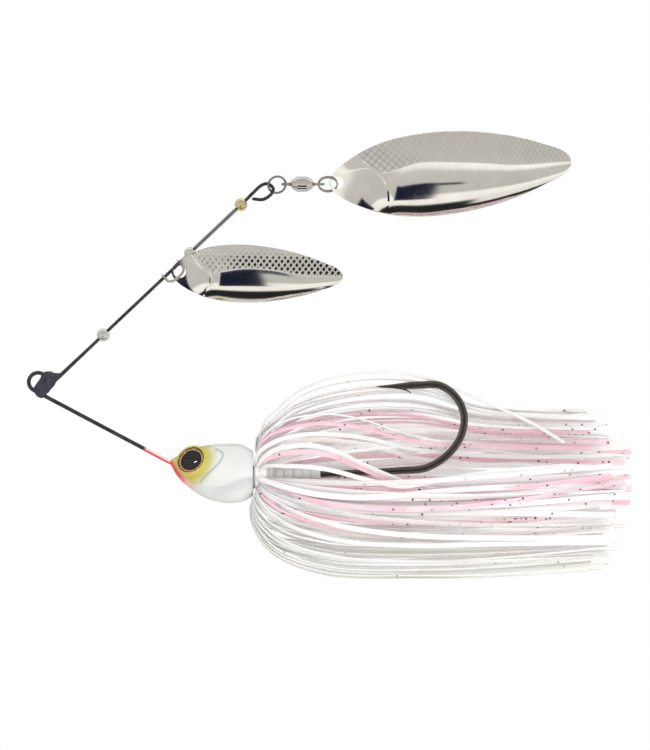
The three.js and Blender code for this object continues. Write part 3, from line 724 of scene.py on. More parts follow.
# A blade in its own axes: x from its drilled end to its tip, z toward its stamped edge. "end" is where its
# drilled end lies on the lure. "ridge" parts its two slopes and "gill" its plain nose from the rest, "upper"
# and "lower" say how late each slope falls, and "steps" are the sheet's rings and points across.
SMALL = {
    "length": 40.9,
    "width": 14,
    "cup": 2.1,
    "fullness": 0.78,
    "hole": 2.05,
    "end": (31.75, -1.25, 26.3),
    "pitch": math.radians(-1.8),
    "roll": math.radians(12),
    "ridge": [(0, 0), (5, 0.2), (9.3, 0.2), (17.5, 1.6), (23.5, 1.4), (31.4, 0.2), (40.9, 0)],
    "gill": [(-7, 7.4), (-3.9, 8.5), (-1.9, 9.5), (-0.2, 9.2), (2.5, 6.8), (4.5, 5), (7, 3.6)],
    "upper": 1.5,
    "lower": 2.6,
    "satin": 0.1,
    "dark_at": 0.27,
    "steps": (360, 126),
}
LARGE = {
    "length": 58.1,
    "width": 20,
    "cup": 3.2,
    "fullness": 0.85,
    "hole": 2.15,
    "end": (69.1, SWIVEL_Y, 47.2),
    "pitch": math.radians(5.3),
    "roll": math.radians(6),
    "ridge": [(0, 1), (3.5, 1.8), (9.2, 2.8), (13, 1.4), (16.8, 2.1), (21.7, 3.2), (28.9, 2.7), (38.4, 1.5),
              (44.1, 0.6), (58.1, 0)],
    "gill": [(-10, 12.4), (-5, 14.2), (0.7, 13), (3.5, 9.7), (6, 7.5), (10, 5)],
    "upper": 1.5,
    "lower": 3.0,
    "satin": 1.0,
    "dark_at": 1.0,
    "steps": (380, 120),
}


def through(points, at):
    """A smooth curve through a few points, read at many places."""
    fine = smooth([(x, y, 0) for x, y in points], 200)
    return np.interp(at, fine[:, 0], fine[:, 1])


def stamped_part(blade, x, z):
    """1 where the blade is stamped with scales, and 0 on its plain parts."""
    above = smoothstep(z - through(blade["ridge"], x), 0.0, 0.45)
    aft = smoothstep(x - through(blade["gill"], z), 0.2, 0.6)
    return above * aft


def coarse_scales(x, z):
    """Deep diamond dimples between raised lines, shallower toward the nose and the edge."""
    first = np.abs(np.sin(math.pi * (x / 1.42 + z / 1.75)))
    second = np.abs(np.sin(math.pi * (x / 1.42 - z / 1.75)))
    depth = 0.27 * lerp(0.62, 1, smoothstep(x, 11, 18)) * lerp(1, 0.5, smoothstep(z, 3.6, 5.6))
    return -depth * smoothstep(np.minimum(first, second), 0.12, 0.85)


def scale_grid(x, z):
    """The two running numbers whose sum and difference draw the fine diamonds, shorter toward the tip."""
    return x * (0.42 + 0.0041 * x), z / 1.75


def groove_strength(x, z):
    """How deep the fine grooves are: they fade along the middle of the blade."""
    return lerp(1, 0.2, smoothstep(x + 1.6 * z, 17, 34)) + 0.35 * smoothstep(x, 38, 50)


def fine_scales(x, z):
    """Flat diamonds between shallow grooves."""
    across, up = scale_grid(x, z)
    first = np.abs(np.sin(math.pi * (across + up)))
    second = np.abs(np.sin(math.pi * (across - up)))
    depth = 0.03 * groove_strength(x, z)
    return -depth * (np.exp(-((first / 0.4) ** 2)) + np.exp(-((second / 0.4) ** 2)))


def blade_sheet(blade, scales):
    """The cupped sheet, with its stamping on both faces; hollow toward +y, drilled end at the origin."""
    rings, across = blade["steps"]
    u = np.linspace(0, 1, rings)
    share = lerp(0.002, 0.998, lerp(u, (1 - np.cos(math.pi * u)) / 2, 0.45))
    bluntness = 0.72 - 0.12 * smoothstep(share, 0.1, 0.3) - 0.09 * smoothstep(share, 0.88, 1)
    relative = np.power(np.sin(math.pi * np.power(share, blade["fullness"])), bluntness)
    spread = np.linspace(0.985, -0.985, across)
    loop = np.concatenate([spread, [-1.0], spread[::-1], [1.0]])
    side = np.concatenate([-np.ones(across), [0.0], np.ones(across), [0.0]])
    x = np.repeat((share * blade["length"])[:, None], len(loop), axis=1)
    half = (relative * blade["width"] / 2)[:, None]
    z = half * loop[None, :]
    ridge = np.clip(through(blade["ridge"], x), -0.6 * half, 0.6 * half)
    over = np.clip((z - ridge) / (half - ridge), 0, 1)
    under = np.clip((ridge - z) / (half + ridge), 0, 1)
    lift = 1 - np.where(z > ridge, np.power(over, blade["upper"]), np.power(under, blade["lower"]))
    crown = blade["cup"] * np.power(relative, 1.6)[:, None] * lift * smoothstep(share, 0.03, 0.3)[:, None]
    edge = smoothstep(half * (1 - np.abs(loop)[None, :]), 0.05, 0.7)
    stamp = scales(x, z) * stamped_part(blade, x, z) * edge
    gill_line = -0.09 * np.exp(-(((x - through(blade["gill"], z)) / 0.3) ** 2)) * edge
    y = -crown - stamp - gill_line + side[None, :] * SHEET / 2
    return [list(zip(x[i], y[i], z[i])) for i in range(rings)]


def make_blade(name, blade, scales, body):
    made = object_of(name + "_sheet", [rings_to_shape(blade_sheet(blade, scales))])
    drill = turned([(0, -4), (HOLE_RADIUS, -4), (HOLE_RADIUS, 4), (0, 4)], 64)
    carved(made, aimed(drill, (blade["hole"], 0, 0), (0, 1, 0)))
    p = coordinates(made)
    stamped = stamped_part(blade, p[:, 0], p[:, 2])
    paint(made, "satin", stamped * blade["satin"])
    # Painted shade in the dimples: its share grows with their depth and is full at the blade's dark_at.
    paint(made, "dimple_painted_shade", np.clip(-scales(p[:, 0], p[:, 2]) / blade["dark_at"], 0, 1) * stamped)
    across, up = scale_grid(p[:, 0], p[:, 2])
    paint(made, "across", math.pi * across)
    paint(made, "up", math.pi * up)
    # Painted shade along the fine grooves, as strong as the grooves are deep.
    paint(made, "groove_painted_shade", stamped * blade["satin"] * groove_strength(p[:, 0], p[:, 2]))
    turn = Matrix.Rotation(-blade["pitch"], 4, "Y") @ Matrix.Rotation(blade["roll"], 4, "X")
    made.data.transform(Matrix.Translation(blade["end"]) @ turn)
    shown(made, [BLADE], body, "blade_nickel", name, sharp=50)


# ---- swivel ----


def make_front_ring():
    lean, yaw = math.radians(25), math.radians(11)
    first = np.array((math.cos(yaw), math.sin(yaw), 0))
    second = np.array((0, -math.sin(lean), math.cos(lean)))
    second = unit(second - first * second.dot(first))
    matrix = basis(first, second, np.cross(first, second), (56.88, 0, 46.95))
    made = object_of("front_ring_wire", [moved(torus(2.1, 0.27), matrix)])
    shown(made, [SHADED_RING_NICKEL], "front_ring", "nickel", "front_ring")


def stem(eye_at, eye_radius, half, rod_from, head_from, head_to):
    """A swivel stem along x: its eye, a waisted rod and the head inside the barrel."""
    middle = (rod_from + head_from) / 2
    rod = turned(
        [(0, rod_from), (0.5, rod_from), (0.46, lerp(rod_from, middle, 0.3)), (0.4, middle), (0.4, head_from),
         (1.12, head_from), (1.12, head_to), (0, head_to)], 32
    )
    return [moved(torus(eye_radius, half), Matrix.Translation((eye_at, 0, 0))), rod]


def mirrored(profile):
    return [(radius, BARREL_LENGTH - x) for radius, x in reversed(profile)]


def make_swivel():
    at_axis = Matrix.Translation((0, SWIVEL_Y, SWIVEL_Z))
    front = stem(59, 0.82, 0.34, 59.7, BARREL_START + 1.62, BARREL_START + 2.05)
    rear = stem(-66.85, 1.15, 0.28, -65.9, -(BARREL_START + 3.9), -(BARREL_START + 3.45))
    rear = [moved(shape, Matrix.Rotation(math.pi, 4, "Z")) for shape in rear]
    for name, shapes in (("front_stem", front), ("rear_stem", rear)):
        made = object_of(name, [moved(shape, at_axis) for shape in shapes])
        shown(made, [SHADED_STEM_NICKEL], "swivel_" + name, "nickel", "swivel_" + name)
    half_end = [(0.52, 0), (0.8, 0), (0.95, 0.12), (1.18, 0.42), (1.42, 0.8), (1.62, 1.15), (1.74, 1.32),
                (1.76, 1.42), (BARREL_RADIUS, 1.5), (BARREL_RADIUS, 1.62)]
    inside = [(1.42, 1.62), (1.05, 0.75), (0.52, 0.35)]
    profile = half_end + mirrored(half_end) + mirrored(inside) + inside
    barrel = moved(turned(profile, 56), Matrix.Translation((BARREL_START, SWIVEL_Y, SWIVEL_Z)))
    made = object_of("swivel_body", [barrel])
    shown(made, [WARM_NICKEL], "swivel_barrel", "warm_nickel", "swivel_barrel", sharp=24)
    for i in range(1, 7):
        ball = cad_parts[f"bearing_ball_{i}"]
        ball.data.materials.clear()
        ball.data.materials.append(NICKEL)


def make_split_ring():
    opening = 0.14 * math.pi
    route = []
    for angle in np.linspace(opening, 4 * math.pi - opening, 150):
        jog = smoothstep(angle, 2 * math.pi - opening, 2 * math.pi + opening)
        x, y = SPLIT_RING_RADIUS * math.cos(angle), SPLIT_RING_RADIUS * math.sin(angle)
        route.append((x, y, SPLIT_RING_RISE * (2 * jog - 1)))
    matrix = Matrix.Translation((69, SWIVEL_Y, SWIVEL_Z)) @ Matrix.Rotation(math.radians(135), 4, "X")
    coil = sweep(route, round_bar(0.18), 10, (0, 0, 1), square=0.75)
    made = object_of("split_ring_coil", [moved(coil, matrix)])
    shown(made, [SHADED_STEM_NICKEL], "split_ring", "nickel", "split_ring")


# ---- hook ----

SHANK = direction(SHANK_ANGLE)
HOOK_SIDES = 24
HOOK_BEND = [(92.3, 0, -20.45), (97.2, 0, -17.55), (100.6, 0, -13), (101.4, 0, -8), (99.5, 0, -3.6),
             (95.6, 0, -0.8), (91, 0, -0.7), (88.8, 0, -0.8), (86, 0, -0.95), (83, 0, -1.08), (80.5, 0, -1.1)]
BARB = [(85.2, 0, -1.2), (87.2, 0, -1.7), (88.9, 0, -2.65)]


def shank_point(distance):
    return HOOK_EYE + SHANK * distance


def hook_size(_, point):
    """Round wire, forged flatter round the bend and drawn out to the point."""
    on_point = np.clip((point[0] - 80.5) / 8.5, 0.03, 1) if point[2] > -2.5 else 1
    forged = smoothstep(point[0], 78, 90)
    taper = on_point**0.62
    return lerp(0.79, 0.7, forged) * taper, lerp(0.79, 0.91, forged) * taper


def black_nickel():
    """Glossy black plating on the forged flats, with a painted brown reflection on the rounded edges either
    side of them.
    """
    n = Nodes("black_nickel")
    fine = n.noise(0.5, 5)
    black = n.cloud(2.5, 4, (0.020, 0.018, 0.018), (0.045, 0.040, 0.038))
    # Painted reflection: brown on the rounded edges, black on the flats.
    n.set(Base_Color=n.mix(n.mask("edge"), black, (0.18, 0.16, 0.14)), Metallic=1.0)
    n.set(Roughness=n.span(fine, 0.35, 0.7, 0.10, 0.22))
    n.bump(fine, 0.006)
    return n.owner


def barb_size(t, _):
    return lerp(0.5, 0.06, t), lerp(0.44, 0.06, t)


def make_hook():
    shank = [shank_point(d) for d in np.linspace(11, 45, 30)]
    bend = smooth([shank_point(46.5), *HOOK_BEND], 150)
    shaft = sweep(np.vstack([shank, bend]), hook_size, HOOK_SIDES, square=0.85)
    barb = sweep(smooth(BARB, 12), barb_size, 12)
    made = object_of("hook_wire", [shaft, barb])
    in_plane = np.abs(np.sin(2 * math.pi * np.arange(len(shaft[0])) / HOOK_SIDES))
    # Painted reflection: the share of each ring that faces along the hook's own plane is painted brown.
    paint(made, "edge", np.concatenate([smoothstep(in_plane, 0.12, 0.4), np.zeros(len(barb[0]))]))
    shown(made, [black_nickel()], "root", "black_nickel", "hook")


# ---- head ----

HEAD_TOP = [(31.5, -18.5), (33.9, -17.2), (36, -15.9), (38.9, -15.25), (44.3, -14.66), (48.5, -14.95),
            (HEAD_BACK, -16.4)]
HEAD_BOTTOM = [(31.5, -19.5), (33.2, -22.5), (36.3, -25.4), (40.3, -27.75), (44.9, -28.8), (48.9, -28.35),
               (HEAD_BACK, -27.1)]
HEAD_HALF = [(31.5, 0.75), (33.5, 2.2), (36, 3.7), (39.5, 4.9), (44, 5.35), (48.5, 5.1), (HEAD_BACK, 4.5)]
GILL = [(42.4, -15.9), (43.6, -16.5), (44.1, -17.1), (43.5, -18.7), (41.8, -20.5), (40.1, -22.1),
        (38.6, -23.8)]
CREASE = [(39.8, -25.2), (44.3, -24.5), (48, -23.1), (51, -22.3)]


def eye_axes(side):
    place = EYE_PLACE * (1, side, 1)
    axis = unit(EYE_AXIS * (1, side, 1))
    return place, axis


def head_shell():
    rings = []
    for i in range(90):
        x = lerp(31.5, HEAD_BACK, (i / 89) ** 1.25)
        top, bottom = through(HEAD_TOP, x), through(HEAD_BOTTOM, x)
        wide = through(HEAD_HALF, x)
        middle, half = (top + bottom) / 2, (top - bottom) / 2
        ring = []
        for j in range(96):
            a = 2 * math.pi * j / 96
            across = math.copysign(abs(math.cos(a)) ** 0.92, math.cos(a))
            ring.append((x, wide * across, middle + half * math.sin(a)))
        rings.append(ring)
    return rings_to_shape(rings)


def distance_to(points, curve):
    """Distance from many points to a curve, both in the xz plane."""
    fine = smooth([(x, 0, z) for x, z in curve], 90)[:, [0, 2]]
    flat = points[:, [0, 2]]
    return np.sqrt(((flat[:, None, :] - fine[None, :, :]) ** 2).sum(2)).min(1)


def below_crease(points):
    """How far each point lies below the crease along the cheek."""
    fine = smooth([(x, z, 0) for x, z in CREASE], 60)
    return np.interp(points[:, 0], fine[:, 0], fine[:, 1], left=-60, right=-22.3) - points[:, 2]


def cast_head():
    """The casting: shell, eye rims and neck in one skin, with its gill, its crease and the eyes' beds."""
    shapes = [head_shell()]
    for side in (-1, 1):
        rim = [(0, -1.9), (3.1, -1.9), (3.9, -0.6), (4.02, 0.05), (3.85, 0.5), (3.5, 0.72), (0, 0.72)]
        shapes.append(aimed(turned(rim, 64), *eye_axes(side)))
    collar = [(0, -4), (2.6, -4), (2.6, 3.9), (0, 3.9)]
    neck = shank_point((HEAD_BACK - HOOK_EYE[0]) / SHANK[0])
    shapes.append(aimed(turned(collar, 48), neck, SHANK))
    head = object_of("head_casting", shapes)
    modified(head, "REMESH", mode="VOXEL", voxel_size=0.17)
    modified(head, "SMOOTH", factor=0.5, iterations=7)
    p, out = coordinates(head), normals(head)
    flank = smoothstep(np.abs(p[:, 1]), 1.2, 2.6) * smoothstep(50.9 - p[:, 0], 0, 0.6)
    gill = np.exp(-((distance_to(p, GILL) / 0.22) ** 2)) * flank
    below_by = below_crease(p)
    ledge = smoothstep(below_by, -0.5, 0.5) * smoothstep(p[:, 0], 39, 43) * flank
    reshape(head, p - out * (0.16 * gill + 0.34 * ledge * smoothstep(4.5 - below_by, 0, 3.8))[:, None])
    bore = [(0, -0.1), (EYE_RADIUS + 0.1, -0.1), (EYE_RADIUS + 0.1, 3), (0, 3)]
    return carved(head, *[aimed(turned(bore, 64), *eye_axes(side)) for side in (-1, 1)])


def make_head():
    head = cast_head()
    p = coordinates(head)
    flank = smoothstep(np.abs(p[:, 1]), 1.0, 2.4)
    side = np.where(p[:, 1] < 0, -1.0, 1.0)
    ones = np.ones(len(p))
    from_eye = np.linalg.norm(p - EYE_PLACE * np.stack([ones, side, ones], axis=1), axis=1)
    aft = (p[:, 0] - EYE_PLACE[0]) * 0.9 - (p[:, 2] - EYE_PLACE[2]) * 0.25
    olive = 1 - smoothstep(from_eye + 0.1 * aft, 4.1, 7.6)
    throat_by = p[:, 2] - through(HEAD_BOTTOM, np.clip(p[:, 0], 31.5, HEAD_BACK))
    front = 1 - smoothstep(p[:, 0], 34.2, 38.8)
    throat = (1 - smoothstep(throat_by, 1.0, 2.3)) * front
    paint(head, "olive", olive)
    paint(head, "throat", throat)
    paint(head, "throat_deep", 1 - smoothstep(p[:, 0], 33.4, 36.2))
    paint(head, "gill", np.exp(-((distance_to(p, GILL) / 0.2) ** 2)) * flank)
    below_by = below_crease(p)
    # A painted shadow, darkest just under the cheek crease and fading downward.
    shadow = smoothstep(below_by, -0.25, 0.35) * (1 - smoothstep(below_by, 0.6, 4.2))
    paint(head, "below", shadow * flank * smoothstep(p[:, 0], 39, 44))
    shown(head, [HEAD], "root", "head_paint", "head", sharp=60)


def make_keeper():
    """The ribbed keeper that holds a bait on the shank."""
    profile = [(0, 2), (2.4, 2), (2.6, 3.9), (3, 4.1), (3, 4.5), (1.35, 5.2)]
    rib = [(1.12, 0), (1.3, 0.1), (1.44, 0.4), (1.46, 1), (1.42, 1.75)]
    for i in range(5):
        profile += [(radius, 5.4 + i * 2.1 + x) for radius, x in rib]
    profile += [(1.25, 16), (0, 16)]
    neck = shank_point((HEAD_BACK - HOOK_EYE[0]) / SHANK[0])
    made = object_of("bait_keeper", [aimed(turned(profile, 48), neck, SHANK)])
    p = coordinates(made)
    for name in ("olive", "throat", "throat_deep", "gill"):
        paint(made, name, np.zeros(len(p)))
    # Painted shade: a flat share of the head's crease shadow darkens the whole keeper a little.
    paint(made, "below", np.full(len(p), 0.15))
    shown(made, [HEAD], "root", "head_paint", sharp=30)


def make_eyes():
    for name, side in (("left", -1), ("right", 1)):
        place, axis = eye_axes(side)
        radii = list(np.linspace(0.15, EYE_RADIUS, 40))
        foil = [(0, FOIL), *[(r, FOIL) for r in radii], (EYE_RADIUS, 0), (0, 0)]
        disc = object_of(name + "_eye_print", [turned(foil, 64)])
        p = coordinates(disc)
        paint(disc, "radius", np.hypot(p[:, 1], p[:, 2]) / EYE_RADIUS)
        disc.data.transform(aim(place, axis))
        shown(disc, [EYE_FOIL], "root", "eye_foil", name + "_eye_foil")
        profile = [(0, DOME_BASE), (EYE_RADIUS - 0.05, DOME_BASE), (EYE_RADIUS, DOME_BASE + 0.05)]
        spring = DOME_BASE + 0.2
        angles = np.linspace(0, math.pi / 2, 24)[:-1]
        profile += [(EYE_RADIUS * math.cos(a), spring + DOME_HEIGHT * math.sin(a)) for a in angles]
        profile.append((0, spring + DOME_HEIGHT))
        dome = object_of(name + "_eye_lens", [aimed(turned(profile, 64), place, axis)])
        shown(dome, [DOME], "root", "eye_dome", name + "_eye_dome")
        dome.visible_shadow = False


# ---- skirt ----

COLLAR = shank_point((HEAD_BACK - HOOK_EYE[0]) / SHANK[0])
BELL_TOP = [
    (52.7, 3.2), (51.7, 8.9), (53.8, 12.2), (57.2, 15.4), (61, 19.1), (67, 22.1), (76, 24), (83.5, 24.4),
    (91.2, 23.6), (105, 18), (120, 16.4), (134, 16),
]
BELL_BOTTOM = [
    (52.4, 3.2), (50.6, 7), (50.9, 10.8), (52.8, 15), (55.7, 18.4), (61, 21.5), (68.5, 23.9), (76, 24.8),
    (88, 25.1), (105, 25.4), (134, 24.2),
]
BELL_SIDE = [
    (52.5, 2.0), (53.8, 3.6), (57, 6.6), (62, 10.8), (68, 15.2), (76, 19.4), (86, 22.4), (98, 23.6),
    (112, 23.2), (134, 21),
]
FLATNESS = 0.78
STEPS = 44
SKIRT_START = 52.5
STRAND_WIDTHS = (1.25, 1.75)
STRAND_THICKNESS = 0.42
LOOSE_THICKNESS = 0.45
STRAND_SECTION = [(1, 0), (0.86, 0.8), (0, 1), (-0.86, 0.8), (-1, 0), (-0.86, -0.8), (0, -1), (0.86, -0.8)]


def even(points, steps):
    """A smooth curve cut into steps of equal length."""
    fine = smooth([(x, y, 0) for x, y in points], 400)
    run = np.concatenate([[0], np.cumsum(np.linalg.norm(np.diff(fine, axis=0), axis=1))])
    at = np.linspace(0, run[-1], steps + 1)
    return np.stack([np.interp(at, run, fine[:, 0]), np.interp(at, run, fine[:, 1])], axis=1)


TOP_CURVE = even(BELL_TOP, STEPS)
BOTTOM_CURVE = even(BELL_BOTTOM, STEPS)
SIDE_CURVE = even(BELL_SIDE, STEPS)


def strand_route(turn, layer, stretch, twist, wave, phase):
    """A strand of the bell. layer scales its reach, stretch its length and twist turns it as it runs aft."""
    belly = (1 - math.cos(turn)) / 2
    flank = math.sin(turn) ** 4
    route = []
    for i in range(STEPS + 1):
        t = i / STEPS
        x, reach = lerp(lerp(TOP_CURVE[i], BOTTOM_CURVE[i], belly), SIDE_CURVE[i], flank)
        hold = smoothstep(t, 0.0, 0.3)
        reach = lerp(reach, 2 + (reach - 2) * layer, hold)
        reach += 0.5 * wave * math.sin(phase * 2 + 4 * t) * t * 20
        run = (x - SKIRT_START) * lerp(1, stretch, t)
        angle = turn + twist * t * t + wave * math.sin(phase + 5 * t) * t
        flat = lerp(1, FLATNESS, smoothstep(reach, 5, 16))
        up = reach * math.cos(angle) + run * math.tan(SHANK_ANGLE) * 0.3
        route.append((SKIRT_START + run, reach * math.sin(angle) * flat, COLLAR[2] + up))
    return np.array(route)


def strand(route, width, thickness, spin, colour):
    """A flat strand, its broad face square to the bell where it starts and then turning a little."""
    across = np.cross(route[1] - route[0], route[1] - COLLAR)
    if np.linalg.norm(across) < 1e-3:
        across = np.array((0, 1, 0))
    across = unit(across)
    turned_frames = frames_along(route, across)
    rings = []
    for i, point in enumerate(route):
        t = i / (len(route) - 1)
        normal, binormal = turned_frames[i]
        a = spin * t
        wide = normal * math.cos(a) + binormal * math.sin(a)
        deep = binormal * math.cos(a) - normal * math.sin(a)
        full = lerp(0.75, 1, smoothstep(t, 0, 0.2))
        ring = []
        for c, s in STRAND_SECTION:
            ring.append(point + wide * c * width / 2 * full + deep * s * thickness / 2)
        rings.append(ring)
    vertices, faces = rings_to_shape(rings)
    return vertices, faces, colour


# Strands that leave the bell's even run, as [x, y, z]; negative y is toward the left flank.
LOOSE = [
    (WHITE, 1.35, [
        (52.1, -2.6, -20.7), (53.6, -5, -18.1), (56.2, -7.5, -16.2), (59.7, -9.8, -15.2),
        (64.5, -11.6, -14.9), (68.3, -12.4, -15.5), (72.1, -12.8, -16.8), (75.4, -13, -18.5),
        (79.5, -13.2, -20.4), (83.3, -13.4, -22), (86.4, -13.6, -23.3), (93, -14.2, -25),
        (105, -14.6, -26), (124, -14.2, -26.5), (136, -14, -26),
    ]),
    (WHITE, 1.1, [
        (51.8, -2.2, -19.8), (52.2, -4.4, -17.4), (54, -6.6, -15.5), (57.1, -8.4, -13.8),
        (60.4, -9.4, -12.9), (64.5, -9.6, -12.3), (69.4, -8.4, -12.3), (74, -6, -12.7),
        (78.1, -3.6, -13.3), (83.5, -0.6, -14.6), (87.6, 1.6, -15.7), (91, 3.2, -16.3), (104, 5.6, -17.5),
        (120, 6.4, -18), (137, 6.6, -17.5),
    ]),
    (WHITE, 1.05, [
        (52.2, -1.6, -19.4), (52.9, -3, -15), (55, -5, -11.7), (59, -6.8, -9.2), (63.3, -7.4, -8.1),
        (68.8, -6.6, -7.6), (74, -4.8, -8.2), (78.1, -2.8, -9.2), (83.5, -0.2, -11.1), (87.7, 2, -12.4),
        (95, 4.4, -14), (110, 6.8, -16.6), (130, 7.4, -18.4),
    ]),
    (WHITE, 1.0, [
        (52.4, 1.2, -19.2), (52.2, 2, -15), (54, 3, -9.5), (57.2, 4, -6.3), (61, 4.6, -2.9),
        (67, 4.8, -0.1), (76, 4.6, 1.8), (84, 4.2, 2.1), (91.2, 3.8, 1.2), (98, 3.4, -1),
        (105.2, 3, -4.3), (111, 2.6, -6.7), (118, 2.2, -10), (125.4, 2, -14.5),
    ]),
    (WHITE, 1.4, [
        (51.6, -3, -22.6), (53.5, -6, -23.1), (59, -10.6, -24.8), (63.3, -13, -25.8),
        (67.1, -14.6, -26.4), (75, -16.4, -27), (85, -17.2, -26.6), (97, -17, -25.4), (112, -16, -24.6),
        (128, -15, -24.4), (139, -14.6, -24.6),
    ]),
    (WHITE, 1.15, [
        (52.2, -2.8, -21.2), (54.6, -6, -19.9), (59.5, -9.6, -19.8), (64.5, -12, -20),
        (68.8, -13.4, -20.5), (72.6, -14.2, -21.4), (76.8, -14.6, -22.6), (80.9, -15, -23.6),
        (86.4, -15.4, -24.5), (90.9, -15.8, -23.9), (98, -16, -22.5), (108, -15.6, -21), (125, -15, -20),
        (139, -14.6, -20),
    ]),
    (PINK, 1.3, [
        (52.2, -2.4, -20.9), (54, -4.6, -18.7), (57.4, -7, -17.2), (61, -8.8, -16.6),
        (65.5, -10.2, -16.6), (70, -11, -17.4), (74, -11.4, -19), (78.6, -11.8, -21), (83, -12.2, -22.8),
        (90, -13, -24.4), (104, -13.6, -25.2), (122, -13.6, -24.6), (138, -13.4, -24),
    ]),
    (PINK, 1.35, [
        (52, -1.8, -19.3), (52.4, -3.4, -16.2), (54.4, -5.4, -13.2), (58, -7, -11.4), (62, -7.8, -10.4),
        (67, -7.4, -9.8), (73, -5.8, -10.2), (79, -3, -11.2), (84, -0.2, -12.8), (89, 2.2, -14),
        (97, 4.4, -15), (112, 6.4, -15.6), (132, 7, -15.8),
    ]),
    (PEARL, 1.6, [
        (52, -2.4, -22.4), (54, -5, -24), (60, -9, -27), (68, -12, -29), (78, -13.5, -30.2),
        (90, -14, -30.6), (105, -14, -30.6), (122, -13.6, -30.9), (136, -13.4, -31.2),
    ]),
    (CREAM, 1.6, [
        (52, -2.2, -22.8), (54, -4.6, -25), (60, -8, -28.4), (68, -10.6, -30.6), (78, -11.8, -31.8),
        (92, -12.4, -32), (108, -12.2, -32), (132, -12, -32.6),
    ]),
    (CLEAR, 1.3, [
        (52, -2.2, -19.6), (53, -4, -16.6), (56, -6.2, -14.6), (60, -7.6, -14), (66, -8, -13.6),
        (72, -6.4, -14), (78, -4, -14.8), (84, -1.2, -16.4), (88, 1.6, -17.8), (94, 3.8, -18.8),
        (110, 6, -20), (134, 6.8, -20.6),
    ]),
]

# Bands of the bell: from and to in degrees from straight up toward the right flank, the number of strands in
# them, and their silicones in turn.
BANDS = [
    (8, 30, 7, (PEARL, WHITE, CLEAR)),
    (30, 52, 9, (PEARL, PINK, WHITE, PINK)),
    (52, 74, 8, (CLEAR, PEARL, CLEAR, PINK)),
    (74, 96, 9, (PEARL, CLEAR, PEARL, PINK)),
    (96, 120, 9, (PEARL, WHITE, PINK, PEARL)),
    (120, 150, 8, (PEARL, CLEAR, WHITE)),
    (150, 208, 21, (CREAM, CLEAR, CREAM, WHITE, CREAM)),
    (208, 232, 11, (CREAM, WHITE, CREAM, CLEAR)),
    (232, 241, 4, (PINK, PEARL, PINK, WHITE)),
    (241, 250, 4, (WHITE, CLEAR, PEARL, PEARL)),
    (250, 259, 5, (PINK, PINK, PEARL)),
    (259, 267, 4, (WHITE, PINK, CLEAR, PEARL)),
]
# How far out the strands lie, in turn, as a share of the bell's reach.
LAYERS = (1.0, 0.84, 0.95, 0.72, 0.9)
# The CAD tufts that the strands replace: how many, and the turn of the first and from one to the next.
TUFTS = 9
FIRST_TUFT = 22
TUFT_STEP = 32


def make_skirt():
    draw = random.Random(41)
    groups = {i: [] for i in range(1, TUFTS + 1)}
    count = 0
    for start, end, number, silicones in BANDS:
        for i in range(number):
            turn = math.radians(lerp(start, end, (i + 0.5) / number) + draw.uniform(-1.5, 1.5))
            layer = LAYERS[count % len(LAYERS)] + draw.uniform(-0.05, 0.02)
            stretch = draw.uniform(0.94, 1.03) + 0.075 * math.sin(turn) ** 2
            twist = draw.uniform(-0.25, 0.25)
            route = strand_route(turn, layer, stretch, twist, draw.uniform(0, 0.05), draw.uniform(0, 6))
            width = draw.uniform(*STRAND_WIDTHS)
            spin = draw.uniform(-1.2, 1.2)
            made = strand(route, width, STRAND_THICKNESS, spin, silicones[i % len(silicones)])
            tuft = min(max(round((math.degrees(turn) - FIRST_TUFT) / TUFT_STEP) + 1, 1), TUFTS)
            groups[tuft].append(made)
            count += 1
    for colour, width, points in LOOSE:
        groups[TUFTS].append(strand(smooth(points, 64), width, LOOSE_THICKNESS, 0.5, colour))
    for i, shapes in groups.items():
        made = object_of(f"skirt_strands_{i}", shapes)
        shown(made, SKIRT, "root", "skirt_silicone", f"skirt_tuft_{i}", sharp=50)


def make_band():
    profile = [(2.7, 0.45), (3.5, 0.45), (3.75, 0.7), (3.85, 1.2), (3.7, 1.9), (3.85, 2.6), (3.75, 3.15),
               (3.5, 3.4), (2.7, 3.4)]
    made = object_of("skirt_collar", [aimed(turned(profile, 56), COLLAR, SHANK)])
    shown(made, [BAND], "root", "band_rubber", "skirt_band")


# ---- studio ----

VIEW_CENTRE = Vector((1.67, 0, -68.3)) * MM
VIEW_HEIGHT = 178.5 * MM
VIEW_DISTANCE = 1.0
SENSOR = 36.0
FLOOR_HALF = 9
FLOOR_DROP = 1.18
LAMPS = [("key", (0.9, -0.2, 0.25), 3.0, 0.6), ("fill", (-0.05, -1.1, -0.3), 10.5, 0.9),
         ("rim", (0.2, 0.8, 0.1), 4.5, 0.6), ("low", (-0.9, -0.35, -0.15), 2.8, 0.6)]


def make_camera():
    data = bpy.data.cameras.new("camera")
    data.sensor_width = SENSOR
    data.lens = SENSOR * VIEW_DISTANCE / VIEW_HEIGHT
    data.clip_end = 20
    camera = bpy.data.objects.new("camera", data)
    bpy.context.scene.collection.objects.link(camera)
    right, up, back = Vector((0, 0, -1)), Vector((1, 0, 0)), Vector((0, -1, 0))
    turn = Matrix((right, up, back)).transposed().to_4x4()
    camera.matrix_world = Matrix.Translation(VIEW_CENTRE + back * VIEW_DISTANCE) @ turn
    bpy.context.scene.camera = camera


